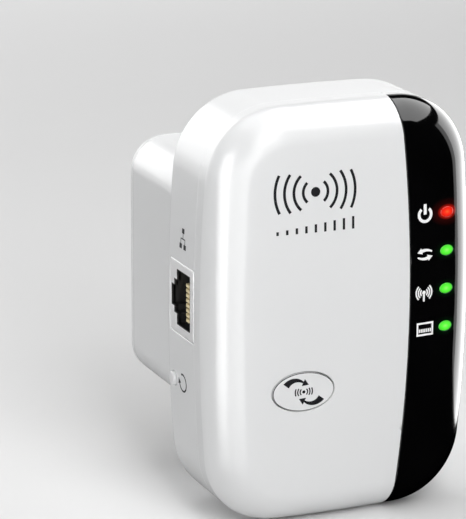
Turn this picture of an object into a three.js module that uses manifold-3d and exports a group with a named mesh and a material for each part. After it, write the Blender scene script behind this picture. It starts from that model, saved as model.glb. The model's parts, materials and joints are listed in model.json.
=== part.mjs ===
// Plug-in wifi range extender: a rounded box that hangs on its own plug housing.
//
// Millimetres, +Z up. The origin is the middle of the face that lies against the wall.
// +Y points into the wall, so the front faces -Y, and +X is to the right seen from the front.
// Where two pieces meet they keep a gap of GAP, so no two solids touch.

import * as THREE from 'three';
import { mergeVertices } from 'three/addons/utils/BufferGeometryUtils.js';
import Module from 'manifold-3d';

const wasm = await Module();
wasm.setup();

// ---------------------------------------------------------------- driving dimensions

const GAP = 0.3;

// Body outline, seen from the front. Its sides are shallow arcs, not straight lines.
const BODY_WIDTH = 63.2;
const BODY_HEIGHT = 92.4;
const CORNER_RADIUS = 16.5;
const SIDE_ARC_RADIUS = 400;
const END_ARC_RADIUS = 570;
const BODY_Z = -1.9; // the body's middle hangs a little below the plug's

// Depths, from the crowned front to the wall at y = 0.
const FRONT_Y = -58;
const CREASE_Y = -49.6;
const SEAM_Y = -46.3;
const REAR_Y = -31.3;

// The front face is crowned: it falls back by SIDE_FALL or END_FALL at the given distance from its
// middle. Near its edge a quarter of an ellipse takes it down to the crease. The ellipse starts at
// the crease already turned by ROUND_START, and its sideways half axis is ROUND_REACH.
const CROWN = { sideFall: 1.3, sideAt: 24, endFall: 1.3, endAt: 38.6 };
const ROUND_REACH = 7.9;
const ROUND_START = 0.25;

const FRONT_WALL = 2.2;
const SIDE_WALL = 2;
const REAR_WALL = 1.5;
const REAR_EDGE_RADIUS = 1;
const TONGUE = 1.6; // how far the rear cover's collar reaches into the front cover
const COLLAR = { thickness: 0.9, depth: 3, footFrom: 1.2, footBite: 0.5 };
const VENT = { count: 7, pitch: 3.6, width: 1.4, frontY: -42, rearY: -35.5, reach: 4 };

// Black light panel on the right of the front. It wraps over the crease by wrap.
const PANEL = { edgeX: 14.1, edgeZ: 2, edgeRadius: 420, thickness: 1.1, wrap: 0.9 };
const PANEL_END = CREASE_Y + PANEL.wrap;

// Four indicator windows in the panel, top to bottom, and the light pipes that fill them.
const WINDOW = { x: 23.2, topZ: 21, pitch: 8.5, width: 3.2, height: 2.2 };
const INDICATORS = ['power', 'sync', 'signal', 'device'];
const LED = { width: 1.6, height: 3.2, thickness: 1.2 };

// Oval push button on the front, its stem, and how far it stands proud.
const WPS = { x: -10.9, z: -14.95, width: 14, height: 8.6, rise: 0.25, curveSegments: 12 };
const WPS_FLANGE = { y: FRONT_Y + 3.6, thickness: 1, margin: 1.2 };
const WPS_STEM_RADIUS = 1.7;

// Small round button on the left side.
const RESET = { y: -34.6, z: -16.2, radius: 1.55, rise: 0.75 };
const RESET_FLANGE = { radius: 2.4, thickness: 0.8 };
const RESET_STEM_RADIUS = 1;

// Network socket on the left side. Its frame's middle, size and mouth.
const JACK = { y: -39.5, z: 2.85, width: 16, height: 12.8, depth: 15.4, faceX: -31.5, plate: 0.4 };
const MOUTH = { frontY: -43.9, backY: -36.9, width: 12, depth: 12.6 };
const MOUTH_STEPS = [{ backY: -35.4, width: 7.2 }, { backY: -33.9, width: 4.4 }];
const CONTACT = {
  count: 8, pitch: 1.1, width: 0.65, thickness: 0.35, nose: 2.5, chamfer: 0.4, run: 9,
  setBack: 0.1,
};

// Plug housing, and the plug of the British three-pin type.
const HOUSING = { width: 55.5, height: 55.9, radius: 8, wall: 2 };
const PLUG_RIM = 1.2;
const SKIRT_DEPTH = 4.5;
const SKIRT_WALL = 1.5;
const PIN_BLOCK_WIDTH = 34;
const PIN = { spacing: 22.2, width: 6.35, height: 4, length: 17.7, sleeve: 9.5, neck: 1 };
const PIN_TAPER = { length: 1.4, inset: 0.8 };
const EARTH_PIN = { width: 4, height: 8, length: 22.7 };
const PIN_ROW_Z = -11.1;
const EARTH_Z = 11.1;
const PIN_TAIL_Y = -10.8;

// Circuit boards, as the y of their front faces.
const BOARD_THICKNESS = 1.6;
const MAIN_BOARD = { y: -38.2, inset: 4.2 };
const POWER_BOARD = { y: -9.6, size: 46, radius: 5, postInset: 4, postRadius: 2 };
const POSTS = [[-16, -34], [-16, 34.9], [16, -34], [16, 34.9]];
const SCREWED_POSTS = [POSTS[1], POSTS[2]];
const POST_RADIUS = 2.6;
const SCREW = {
  hole: 1.2, shank: 0.8, head: 2.1, headHeight: 1.3, length: 4.2, slotWidth: 0.6, slotDepth: 0.5,
};

// ---------------------------------------------------------------- finishes

const FINISH = {
  shell: { color: 0xf1f1ef, roughness: 0.3, metalness: 0 },
  panel: { color: 0x060607, roughness: 0.12, metalness: 0 },
  plug: { color: 0xeeeeec, roughness: 0.45, metalness: 0 },
  brass: { color: 0xc9a45a, roughness: 0.35, metalness: 1 },
  sleeve: { color: 0x1d1d1f, roughness: 0.55, metalness: 0 },
  shield: { color: 0xd7d9dc, roughness: 0.3, metalness: 1 },
  black: { color: 0x141416, roughness: 0.6, metalness: 0 },
  gold: { color: 0xd9b45c, roughness: 0.25, metalness: 1 },
  board: { color: 0x1f5a34, roughness: 0.5, metalness: 0 },
  chip: { color: 0x18181a, roughness: 0.5, metalness: 0 },
  can: { color: 0xc4c6c9, roughness: 0.35, metalness: 1 },
  ferrite: { color: 0x2c2b2b, roughness: 0.7, metalness: 0 },
  winding: { color: 0xd9b81f, roughness: 0.5, metalness: 0 },
  redLens: { color: 0xff3020, roughness: 0.2, metalness: 0 },
  greenLens: { color: 0x30e040, roughness: 0.2, metalness: 0 },
  red: { color: 0xb41c1c, roughness: 0.5, metalness: 0 },
  blue: { color: 0x2a5d9c, roughness: 0.5, metalness: 0 },
  steel: { color: 0x9a9da1, roughness: 0.35, metalness: 1 },
};

// ---------------------------------------------------------------- solids

/** A closed geometry as a solid that can be joined and cut. */
function solid(geometry) {
  const bare = geometry.clone();
  bare.deleteAttribute('normal');
  bare.deleteAttribute('uv');
  const merged = mergeVertices(bare, 1e-4);
  return new wasm.Manifold(new wasm.Mesh({
    numProp: 3,
    vertProperties: Float32Array.from(merged.attributes.position.array),
    triVerts: Uint32Array.from(merged.index.array),
  }));
}

/** A solid as a geometry. */
function geometryOf(body) {
  const { vertProperties, triVerts } = body.getMesh();
  const geometry = new THREE.BufferGeometry();
  geometry.setAttribute('position', new THREE.BufferAttribute(vertProperties, 3));
  geometry.setIndex(new THREE.BufferAttribute(triVerts, 1));
  geometry.computeVertexNormals();
  return geometry;
}

/** A box between two values on each axis. */
function box([x0, x1], [y0, y1], [z0, z1]) {
  const geometry = new THREE.BoxGeometry(x1 - x0, y1 - y0, z1 - z0);
  return geometry.translate((x0 + x1) / 2, (y0 + y1) / 2, (z0 + z1) / 2);
}

/** A shape drawn in x and z, made solid from y0 to y1. */
function prism(shape, y0, y1, curveSegments = 6) {
  const options = { depth: y1 - y0, bevelEnabled: false, curveSegments };
  const geometry = new THREE.ExtrudeGeometry(shape, options);
  return geometry.rotateX(Math.PI / 2).translate(0, y1, 0);
}

/** A shape drawn in x and y, made solid between z0 and z1. */
function slab(shape, z0, z1) {
  const geometry = new THREE.ExtrudeGeometry(shape, { depth: z1 - z0, bevelEnabled: false });
  return geometry.translate(0, 0, z0);
}

/** A round rod along Y. */
function rodY(radius, y0, y1, x, z, sides = 20) {
  const geometry = new THREE.CylinderGeometry(radius, radius, y1 - y0, sides);
  return geometry.translate(x, (y0 + y1) / 2, z);
}

/** A round rod along X. */
function rodX(radius, x0, x1, y, z, sides = 20) {
  const geometry = new THREE.CylinderGeometry(radius, radius, x1 - x0, sides);
  return geometry.rotateZ(Math.PI / 2).translate((x0 + x1) / 2, y, z);
}

/** A rectangle with round corners, about a middle point. */
function roundedRectangle(width, height, radius, x = 0, z = 0) {
  const shape = new THREE.Shape();
  const right = width / 2 - radius;
  const top = height / 2 - radius;
  shape.absarc(x + right, z + top, radius, 0, Math.PI / 2);
  shape.absarc(x - right, z + top, radius, Math.PI / 2, Math.PI);
  shape.absarc(x - right, z - top, radius, Math.PI, 1.5 * Math.PI);
  shape.absarc(x + right, z - top, radius, 1.5 * Math.PI, 2 * Math.PI);
  return shape;
}

/** An upright ellipse about a middle point. */
function ellipse(width, height, x, z) {
  return new THREE.Shape().absellipse(x, z, width / 2, height / 2, 0, 2 * Math.PI);
}

/** A closed polygon through [x, y] points. */
function polygon(points) {
  return new THREE.Shape(points.map(([x, y]) => new THREE.Vector2(x, y)));
}

/** A thin round wire through a few points. */
function wire(points, radius) {
  const path = new THREE.CatmullRomCurve3(points.map((p) => new THREE.Vector3(...p)));
  const section = new THREE.Shape().absarc(0, 0, radius, 0, 2 * Math.PI);
  return new THREE.ExtrudeGeometry(section, { steps: 14, curveSegments: 4, extrudePath: path });
}

/** Joins rings of points into a closed surface. The rings run from front to rear. */
function loft(rings, frontTip) {
  const count = rings[0].length;
  const middle = (ring) => ring.reduce((sum, p) => sum.add(p), new THREE.Vector3()).divideScalar(count);
  const points = [...rings.flat(), frontTip ?? middle(rings[0]), middle(rings.at(-1))];
  const frontIndex = points.length - 2;
  const rearIndex = points.length - 1;
  const lastRing = (rings.length - 1) * count;
  const faces = [];
  for (let j = 0; j < count; j += 1) {
    const next = (j + 1) % count;
    faces.push(frontIndex, j, next);
    faces.push(rearIndex, lastRing + next, lastRing + j);
    for (let i = 0; i < rings.length - 1; i += 1) {
      const near = i * count;
      const far = near + count;
      faces.push(near + j, far + j, far + next);
      faces.push(near + j, far + next, near + next);
    }
  }
  const geometry = new THREE.BufferGeometry().setFromPoints(points);
  geometry.setIndex(faces);
  return geometry;
}

// ---------------------------------------------------------------- body outline

/** Middles of the side, end and corner arcs of one quarter, each tangent to the next. */
function arcMiddles() {
  const side = new THREE.Vector2(BODY_WIDTH / 2 - SIDE_ARC_RADIUS, 0);
  const end = new THREE.Vector2(0, BODY_HEIGHT / 2 - END_ARC_RADIUS);
  const sideReach = SIDE_ARC_RADIUS - CORNER_RADIUS;
  const endReach = END_ARC_RADIUS - CORNER_RADIUS;
  const apart = end.clone().sub(side);
  const distance = apart.length();
  const along = (sideReach ** 2 - endReach ** 2 + distance ** 2) / (2 * distance);
  const across = Math.sqrt(sideReach ** 2 - along ** 2);
  const unit = apart.divideScalar(distance);
  const square = new THREE.Vector2(-unit.y, unit.x);
  const corner = side.clone().addScaledVector(unit, along).addScaledVector(square, across);
  return { side, end, corner };
}

const ARCS = arcMiddles();
const SIDE_TURN = Math.atan2(ARCS.corner.y, ARCS.corner.x - ARCS.side.x);
const END_TURN = Math.atan2(ARCS.corner.y - ARCS.end.y, ARCS.corner.x);

/** The body's outline moved inwards by inset, as a ring of points at depth y. */
function ring(inset, y, scale = 1) {
  const quarter = [];
  const arc = (middle, radius, from, to, steps) => {
    for (let i = 0; i < steps; i += 1) {
      const angle = from + ((to - from) * i) / steps;
      quarter.push([middle.x + radius * Math.cos(angle), middle.y + radius * Math.sin(angle)]);
    }
  };
  arc(ARCS.side, SIDE_ARC_RADIUS - inset, 0, SIDE_TURN, 3);
  arc(ARCS.corner, CORNER_RADIUS - inset, SIDE_TURN, END_TURN, 7);
  arc(ARCS.end, END_ARC_RADIUS - inset, END_TURN, Math.PI / 2, 2);
  const top = [0, BODY_HEIGHT / 2 - inset];
  const sideEnd = quarter[0];
  const inner = quarter.slice(1);
  const backwards = inner.toReversed();
  const outline = [
    sideEnd, ...inner,
    top, ...backwards.map(([x, z]) => [-x, z]),
    [-sideEnd[0], 0], ...inner.map(([x, z]) => [-x, -z]),
    [0, -top[1]], ...backwards.map(([x, z]) => [x, -z]),
  ];
  return outline.map(([x, z]) => new THREE.Vector3(x * scale, y, z * scale));
}

/** How far the roundover has come in from the outline when it has turned to angle. */
function roundInset(angle) {
  return ROUND_REACH * (Math.cos(ROUND_START) - Math.cos(angle));
}

/** Depth of the front surface at x, z, where the roundover has turned to angle. */
function frontDepth(x, z, angle) {
  const sideways = CROWN.sideFall * (x / CROWN.sideAt) ** 2;
  const endways = CROWN.endFall * (z / CROWN.endAt) ** 2;
  const crown = FRONT_Y + sideways + endways;
  const drop = (1 - Math.sin(angle)) / (1 - Math.sin(ROUND_START));
  return crown + (CREASE_Y - crown) * drop;
}

/** The front's rounded form, moved inwards by skin and closed off at rearY. */
function frontForm(skin, rearY) {
  const roundSteps = 6;
  const crownScales = [0.3, 0.65];
  const flat = Math.PI / 2;
  const formRing = (angle, scale) => {
    const inset = roundInset(angle);
    const outside = ring(inset, 0, scale);
    const moved = ring(inset + skin, 0, scale);
    return moved.map((p, i) => p.setY(frontDepth(outside[i].x, outside[i].z, angle) + skin));
  };
  const rings = crownScales.map((scale) => formRing(flat, scale));
  for (let i = roundSteps; i >= 0; i -= 1) {
    rings.push(formRing(ROUND_START + ((flat - ROUND_START) * i) / roundSteps, 1));
  }
  return loft([...rings, ring(skin, rearY)], new THREE.Vector3(0, FRONT_Y + skin, 0));
}

/** A straight-sided block with the body's outline moved inwards. */
function bodyBlock(inset, y0, y1) {
  return loft([ring(inset, y0), ring(inset, y1)]);
}

const AHEAD = FRONT_Y - 5; // a depth in front of everything, where cutters start

/** The space the panel takes, right of its curved edge, grown by margin to the left and rear. */
function panelZone(margin) {
  const far = 2 * BODY_WIDTH;
  const reach = BODY_HEIGHT / 2 + 4;
  const steps = 12;
  const middleX = PANEL.edgeX - PANEL.edgeRadius;
  const edge = [];
  for (let i = 0; i <= steps; i += 1) {
    const z = reach - (2 * reach * i) / steps;
    const bow = Math.sqrt(PANEL.edgeRadius ** 2 - (z - PANEL.edgeZ) ** 2);
    edge.push([middleX - margin + bow, z]);
  }
  return solid(prism(polygon([[far, reach], ...edge, [far, -reach]]), AHEAD, PANEL_END + margin));
}

const windowZ = (index) => WINDOW.topZ - WINDOW.pitch * index;
const lampFinish = (name) => (name === 'power' ? 'redLens' : 'greenLens');

/** The four indicator openings, as one cutting solid. */
function windowCutters(margin) {
  const width = WINDOW.width + 2 * margin;
  const height = WINDOW.height + 2 * margin;
  const cutters = INDICATORS.map((_, i) => {
    const opening = ellipse(width, height, WINDOW.x, windowZ(i));
    return solid(prism(opening, AHEAD, SEAM_Y));
  });
  return cutters.reduce((all, cutter) => all.add(cutter));
}

const outerFront = solid(frontForm(0, SEAM_Y - GAP / 2));

// ---------------------------------------------------------------- scene

const extender = new THREE.Group();
extender.name = 'wifi_range_extender';

/** Adds a named piece to a group. */
function add(group, name, shape, finish) {
  const geometry = shape.isBufferGeometry ? shape : geometryOf(shape);
  const mesh = new THREE.Mesh(geometry, new THREE.MeshStandardMaterial(FINISH[finish]));
  mesh.name = name;
  group.add(mesh);
  return mesh;
}

/** A new group inside the extender. */
function groupAt(x, y, z) {
  const group = new THREE.Group();
  group.position.set(x, y, z);
  extender.add(group);
  return group;
}

// ---------------------------------------------------------------- casing

function frontCover() {
  const recessSkin = PANEL.thickness + GAP;
  const tongueRoom = solid(bodyBlock(FRONT_WALL, SEAM_Y - TONGUE - GAP, REAR_Y));
  const hollow = solid(frontForm(FRONT_WALL, REAR_Y)).add(tongueRoom);
  const belowPanel = solid(frontForm(recessSkin, REAR_Y));
  const buttonHole = ellipse(WPS.width + 2 * GAP, WPS.height + 2 * GAP, WPS.x, WPS.z);
  return outerFront
    .subtract(hollow)
    .subtract(panelZone(GAP).subtract(belowPanel))
    .subtract(solid(prism(buttonHole, AHEAD, SEAM_Y, WPS.curveSegments)))
    .subtract(windowCutters(GAP));
}

function lightPanel() {
  const belowPanel = solid(frontForm(PANEL.thickness, REAR_Y));
  return outerFront.intersect(panelZone(0)).subtract(belowPanel).subtract(windowCutters(GAP));
}

/** The plug housing's square outline moved inwards by inset, about a middle at height z. */
function housingShape(inset, z = 0) {
  const { width, height, radius } = HOUSING;
  return roundedRectangle(width - 2 * inset, height - 2 * inset, radius - inset, 0, z);
}

function rearCover() {
  const edge = REAR_EDGE_RADIUS;
  const bevel = edge * (1 - Math.SQRT1_2);
  const housingEnd = -PLUG_RIM - GAP;
  const rearInside = REAR_Y - REAR_WALL;
  const shape = housingShape(0, -BODY_Z);
  const inside = housingShape(HOUSING.wall, -BODY_Z);
  const body = loft([
    ring(0, SEAM_Y + GAP / 2),
    ring(0, REAR_Y - edge),
    ring(bevel, REAR_Y - bevel),
    ring(edge, REAR_Y),
  ]);
  let cover = solid(body)
    .add(solid(prism(shape, rearInside, housingEnd)))
    .subtract(solid(bodyBlock(SIDE_WALL, SEAM_Y - 1, rearInside)))
    .subtract(solid(prism(inside, rearInside - 1, 1)));
  cover = cover.add(matingCollar());
  const postEnd = MAIN_BOARD.y + BOARD_THICKNESS + GAP;
  for (const [x, z] of POSTS) {
    cover = cover.add(solid(rodY(POST_RADIUS, postEnd, rearInside + 0.5, x, z)));
  }
  for (const [x, z] of SCREWED_POSTS) {
    cover = cover.subtract(solid(rodY(SCREW.hole, MAIN_BOARD.y, rearInside - 0.4, x, z, 12)));
  }
  const resetHole = rodX(RESET.radius + GAP, -BODY_WIDTH, -BODY_WIDTH / 2 + 4, RESET.y, RESET.z);
  return cover.subtract(jackSlot()).subtract(solid(resetHole)).subtract(ventSlots());
}

/** Ring inside the seam that the front cover slides over. */
function matingCollar() {
  const outer = FRONT_WALL + GAP;
  const end = SEAM_Y + COLLAR.depth;
  const tongue = solid(bodyBlock(outer, SEAM_Y - TONGUE, end));
  const foot = solid(bodyBlock(SIDE_WALL - COLLAR.footBite, SEAM_Y + COLLAR.footFrom, end));
  const bore = solid(bodyBlock(outer + COLLAR.thickness, SEAM_Y - TONGUE - 1, end + 1));
  return tongue.add(foot).subtract(bore);
}

/** Cut in the left wall that the network socket drops into. */
function jackSlot() {
  const half = JACK.width / 2 + GAP;
  const xRange = [-BODY_WIDTH, JACK.faceX + JACK.depth];
  const yRange = [SEAM_Y - 3, JACK.y + JACK.height / 2 + GAP];
  return solid(box(xRange, yRange, [JACK.z - half, JACK.z + half]));
}

/** Air slots in the underside. */
function ventSlots() {
  const { count, pitch, width, frontY, rearY, reach } = VENT;
  const zRange = [-BODY_HEIGHT, -BODY_HEIGHT / 2 + reach];
  const slots = [];
  for (let i = 0; i < count; i += 1) {
    const x = (i - (count - 1) / 2) * pitch;
    slots.push(solid(box([x - width / 2, x + width / 2], [frontY, rearY], zRange)));
  }
  return slots.reduce((all, slot) => all.add(slot));
}

function addCasing() {
  const casing = groupAt(0, 0, BODY_Z);
  add(casing, 'front_cover', frontCover(), 'shell');
  add(casing, 'light_panel', lightPanel(), 'panel');
  add(casing, 'rear_cover', rearCover(), 'shell');
  addLightPipes(casing);
  addWpsButton(casing);
  addResetButton(casing);
}

/** Clear rods that carry the light from the board to the panel's windows. */
function addLightPipes(casing) {
  const skinForm = solid(frontForm(0, MAIN_BOARD.y));
  INDICATORS.forEach((name, i) => {
    const section = ellipse(WINDOW.width, WINDOW.height, WINDOW.x, windowZ(i));
    const rod = solid(prism(section, AHEAD, MAIN_BOARD.y - LED.thickness - 2 * GAP));
    add(casing, `light_pipe_${name}`, rod.intersect(skinForm), lampFinish(name));
  });
}

// ---------------------------------------------------------------- buttons and their switches

const SWITCH = { size: 6, height: 3.4, bore: 2.05, boreDepth: 1.9, plunger: 1.7, rise: 1.2 };
const WPS_PLUNGER_Y = MAIN_BOARD.y - GAP - SWITCH.height - SWITCH.rise;
const RESET_SWITCH = {
  x: -24.6, width: 6, depth: 4, height: 3.1, bore: 1.2, boreDepth: 2, plunger: 0.9, rise: 1,
};
const RESET_TRIM = 5; // half the width of the block that keeps the reset button clear of the rear wall

function addWpsButton(casing) {
  const { y, thickness, margin } = WPS_FLANGE;
  const section = ellipse(WPS.width, WPS.height, WPS.x, WPS.z);
  const cap = solid(prism(section, AHEAD, y + thickness, WPS.curveSegments));
  const raisedFront = outerFront.translate([0, -WPS.rise, 0]);
  const flange = ellipse(WPS.width + 2 * margin, WPS.height + 2 * margin, WPS.x, WPS.z);
  const button = cap.intersect(raisedFront)
    .add(solid(prism(flange, y, y + thickness)))
    .add(solid(rodY(WPS_STEM_RADIUS, y, WPS_PLUNGER_Y - GAP, WPS.x, WPS.z)));
  add(casing, 'wps_button', button, 'shell');

  const front = MAIN_BOARD.y - GAP - SWITCH.height;
  const half = SWITCH.size / 2;
  const bore = rodY(SWITCH.bore, front - 1, front + SWITCH.boreDepth, WPS.x, WPS.z);
  const xRange = [WPS.x - half, WPS.x + half];
  const housing = solid(box(xRange, [front, MAIN_BOARD.y - GAP], [WPS.z - half, WPS.z + half]));
  add(casing, 'wps_switch_body', housing.subtract(solid(bore)), 'black');
  add(casing, 'wps_switch_plunger', rodY(SWITCH.plunger, WPS_PLUNGER_Y, front + 1, WPS.x, WPS.z), 'black');
}

/** Where the left wall's outside is at height z. */
function leftWallX(z) {
  return SIDE_ARC_RADIUS - BODY_WIDTH / 2 - Math.sqrt(SIDE_ARC_RADIUS ** 2 - z ** 2);
}

function addResetButton(casing) {
  const { y, z } = RESET;
  const wallX = leftWallX(z);
  const flangeX = wallX + SIDE_WALL + GAP;
  const plungerX = RESET_SWITCH.x - RESET_SWITCH.rise;
  const cap = solid(rodX(RESET.radius, wallX - RESET.rise, flangeX + 0.1, y, z))
    .add(solid(rodX(RESET_FLANGE.radius, flangeX, flangeX + RESET_FLANGE.thickness, y, z)))
    .add(solid(rodX(RESET_STEM_RADIUS, flangeX, plungerX - GAP, y, z)));
  const yRange = [y - RESET_TRIM, REAR_Y - REAR_WALL - GAP];
  const trim = box([-BODY_WIDTH, 0], yRange, [z - RESET_TRIM, z + RESET_TRIM]);
  add(casing, 'reset_button', cap.intersect(solid(trim)), 'shell');

  const boardRear = MAIN_BOARD.y + BOARD_THICKNESS + GAP;
  const half = RESET_SWITCH.width / 2;
  const { x, depth, height, bore, boreDepth, plunger } = RESET_SWITCH;
  const housing = solid(box([x, x + depth], [boardRear, boardRear + height], [z - half, z + half]));
  const hole = rodX(bore, x - 1, x + boreDepth, y, z);
  add(casing, 'reset_switch_body', housing.subtract(solid(hole)), 'black');
  add(casing, 'reset_switch_plunger', rodX(plunger, plungerX, x + 1, y, z), 'black');
}

// ---------------------------------------------------------------- network socket

/** The stepped mouth, from x0 inwards to x1, grown by margin on every side. */
function mouthCutter(x0, x1, margin) {
  const opening = ({ width, backY }) => {
    const half = width / 2 + margin;
    const yRange = [MOUTH.frontY - margin, backY + margin];
    return solid(box([x0, x1], yRange, [JACK.z - half, JACK.z + half]));
  };
  return MOUTH_STEPS.reduce((cutter, step) => cutter.add(opening(step)), opening(MOUTH));
}

/** A contact seen from the side: a wire folded over at the mouth, drawn in x and y. */
function contactStrip(mouthX) {
  const { thickness, nose, chamfer, run } = CONTACT;
  const floorY = MOUTH.frontY + 0.25;
  const noseY = MOUTH.frontY + nose;
  const heelX = JACK.faceX + MOUTH.depth - 0.4;
  const tipX = JACK.faceX + run;
  const innerX = mouthX + thickness;
  return polygon([
    [heelX, floorY],
    [mouthX + chamfer, floorY], [mouthX, floorY + chamfer],
    [mouthX, noseY - chamfer], [mouthX + chamfer, noseY],
    [tipX, noseY], [tipX, noseY - thickness],
    [innerX + chamfer / 2, noseY - thickness], [innerX, noseY - thickness - chamfer / 2],
    [innerX, floorY + thickness + chamfer / 2], [innerX + chamfer / 2, floorY + thickness],
    [heelX, floorY + thickness],
  ]);
}

function addNetworkSocket() {
  const socket = groupAt(0, 0, BODY_Z);
  const { faceX, plate, depth } = JACK;
  const yRange = (inset) => [JACK.y - JACK.height / 2 + inset, JACK.y + JACK.height / 2 - inset];
  const zRange = (inset) => [JACK.z - JACK.width / 2 + inset, JACK.z + JACK.width / 2 - inset];

  const shield = solid(box([faceX, faceX + depth], yRange(0), zRange(0)))
    .subtract(solid(box([faceX + plate, faceX + depth + 1], yRange(plate), zRange(plate))))
    .subtract(mouthCutter(faceX - 1, faceX + 2, 0));
  add(socket, 'lan_jack_shield', shield, 'shield');

  const clear = plate + GAP;
  const housing = solid(box([faceX + clear, faceX + depth], yRange(clear), zRange(clear)))
    .subtract(mouthCutter(faceX - 1, faceX + MOUTH.depth, 0.1));
  add(socket, 'lan_jack_housing', housing, 'black');

  const strip = contactStrip(faceX + CONTACT.setBack);
  for (let i = 0; i < CONTACT.count; i += 1) {
    const z = JACK.z + (i - (CONTACT.count - 1) / 2) * CONTACT.pitch;
    const wireHalf = CONTACT.width / 2;
    add(socket, `lan_contact_${i + 1}`, slab(strip, z - wireHalf, z + wireHalf), 'gold');
  }
}

// ---------------------------------------------------------------- plug

function plugBase() {
  const skirt = housingShape(HOUSING.wall + GAP);
  const hollow = housingShape(HOUSING.wall + GAP + SKIRT_WALL);
  const half = PIN_BLOCK_WIDTH / 2;
  let base = solid(prism(housingShape(0), -PLUG_RIM, 0))
    .add(solid(prism(skirt, -SKIRT_DEPTH, -PLUG_RIM / 2)))
    .subtract(solid(prism(hollow, -SKIRT_DEPTH - 1, -PLUG_RIM)))
    .add(solid(box([-half, half], [-SKIRT_DEPTH, -PLUG_RIM / 2], [-half, half])));
  const corner = POWER_BOARD.size / 2 - POWER_BOARD.postInset;
  const postEnd = POWER_BOARD.y + BOARD_THICKNESS + GAP;
  for (const x of [-corner, corner]) {
    for (const z of [-corner, corner]) {
      const post = rodY(POWER_BOARD.postRadius, postEnd, -PLUG_RIM / 2, x, z, 12);
      base = base.add(solid(post));
    }
  }
  const start = -SKIRT_DEPTH - 1;
  for (const x of [-PIN.spacing / 2, PIN.spacing / 2]) {
    const hole = pinBlock(x, PIN.width / 2 + GAP, PIN.height / 2 + GAP, start, 1);
    base = base.subtract(solid(hole));
  }
  const { width, height } = EARTH_PIN;
  return base.subtract(solid(pinBlock(0, width / 2 + GAP, height / 2 + GAP, start, 1, EARTH_Z)));
}

/** A rectangular length of pin along Y. */
function pinBlock(x, halfWidth, halfHeight, y0, y1, z = PIN_ROW_Z) {
  return box([x - halfWidth, x + halfWidth], [y0, y1], [z - halfHeight, z + halfHeight]);
}

/** A straight pin from y0 to y1 whose last stretch tapers. */
function taperedPin(x, z, width, height, y0, y1) {
  const section = (inset, y) => {
    const dx = width / 2 - inset;
    const dz = height / 2 - inset;
    const corners = [[dx, -dz], [dx, dz], [-dx, dz], [-dx, -dz]];
    return corners.map(([right, up]) => new THREE.Vector3(x + right, y, z + up));
  };
  return loft([section(0, y0), section(0, y1 - PIN_TAPER.length), section(PIN_TAPER.inset, y1)]);
}

function addPlug() {
  const plug = groupAt(0, 0, 0);
  add(plug, 'plug_base', plugBase(), 'plug');
  const { width, height, length } = EARTH_PIN;
  add(plug, 'earth_pin', taperedPin(0, EARTH_Z, width, height, -SKIRT_DEPTH, length), 'plug');
  const sides = [['neutral', -PIN.spacing / 2], ['line', PIN.spacing / 2]];
  for (const [name, x] of sides) {
    const block = (inset, y0, y1) => (
      solid(pinBlock(x, PIN.width / 2 - inset, PIN.height / 2 - inset, y0, y1))
    );
    const start = PIN.sleeve + GAP;
    const blade = solid(taperedPin(x, PIN_ROW_Z, PIN.width, PIN.height, start, PIN.length))
      .add(block(PIN.neck, PIN_TAIL_Y, PIN.sleeve + 1));
    const sleeve = block(0, -SKIRT_DEPTH, PIN.sleeve)
      .subtract(block(PIN.neck - GAP, -SKIRT_DEPTH - 1, PIN.sleeve + 1));
    add(plug, `${name}_pin`, blade, 'brass');
    add(plug, `${name}_pin_sleeve`, sleeve, 'sleeve');
  }
}

// ---------------------------------------------------------------- main board

/** A box-shaped component standing on the front of a board in a board's group. */
function addChip(group, name, [width, height, thickness], [x, z], finish = 'chip') {
  const mesh = add(group, name, new THREE.BoxGeometry(width, thickness, height), finish);
  mesh.position.set(x, -thickness / 2 - GAP, z);
}

/** A round component standing on the front of a board in a board's group. */
function addCan(group, name, [radius, height], [x, z], finish) {
  const mesh = add(group, name, new THREE.CylinderGeometry(radius, radius, height, 20), finish);
  mesh.position.set(x, -height / 2 - GAP, z);
}

/** A round component lying on the front of a board, along Z. */
function addLyingCan(group, name, [radius, length], [x, z], finish) {
  const mesh = add(group, name, new THREE.CylinderGeometry(radius, radius, length, 16), finish);
  mesh.rotation.x = Math.PI / 2;
  mesh.position.set(x, -radius - GAP, z);
}

function mainBoard() {
  const half = JACK.width / 2 + GAP;
  const xRange = [-BODY_WIDTH, JACK.faceX + JACK.depth + GAP];
  const notch = box(xRange, [-1, BOARD_THICKNESS + 1], [JACK.z - half, JACK.z + half]);
  let board = solid(bodyBlock(MAIN_BOARD.inset, 0, BOARD_THICKNESS)).subtract(solid(notch));
  for (const [x, z] of SCREWED_POSTS) {
    board = board.subtract(solid(rodY(SCREW.hole, -1, BOARD_THICKNESS + 1, x, z, 12)));
  }
  return board;
}

function addMainBoard() {
  const board = groupAt(0, MAIN_BOARD.y, BODY_Z);
  add(board, 'main_board', mainBoard(), 'board');
  INDICATORS.forEach((name, i) => {
    const size = [LED.width, LED.height, LED.thickness];
    addChip(board, `led_${name}`, size, [WINDOW.x, windowZ(i)], lampFinish(name));
  });
  addChip(board, 'wifi_chip', [10, 10, 1], [6, 8]);
  addChip(board, 'memory_chip', [8, 10, 1.1], [7, -6]);
  addChip(board, 'flash_chip', [5.2, 5.2, 1.8], [7, -18]);
  addChip(board, 'crystal', [11, 4.6, 3.4], [12.5, 24], 'can');
  addChip(board, 'lan_transformer', [9.4, 15.6, 5.4], [-8, JACK.z]);
  addChip(board, 'voltage_regulator', [6.5, 3.5, 1.7], [8, -27]);
  addChip(board, 'power_inductor', [6, 6, 3.2], [-2, -27], 'ferrite');
  addCan(board, 'smoothing_capacitor', [3.15, 7.4], [-14, -27], 'can');
  addScrews(board);
  addAntennas(board);
}

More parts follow.
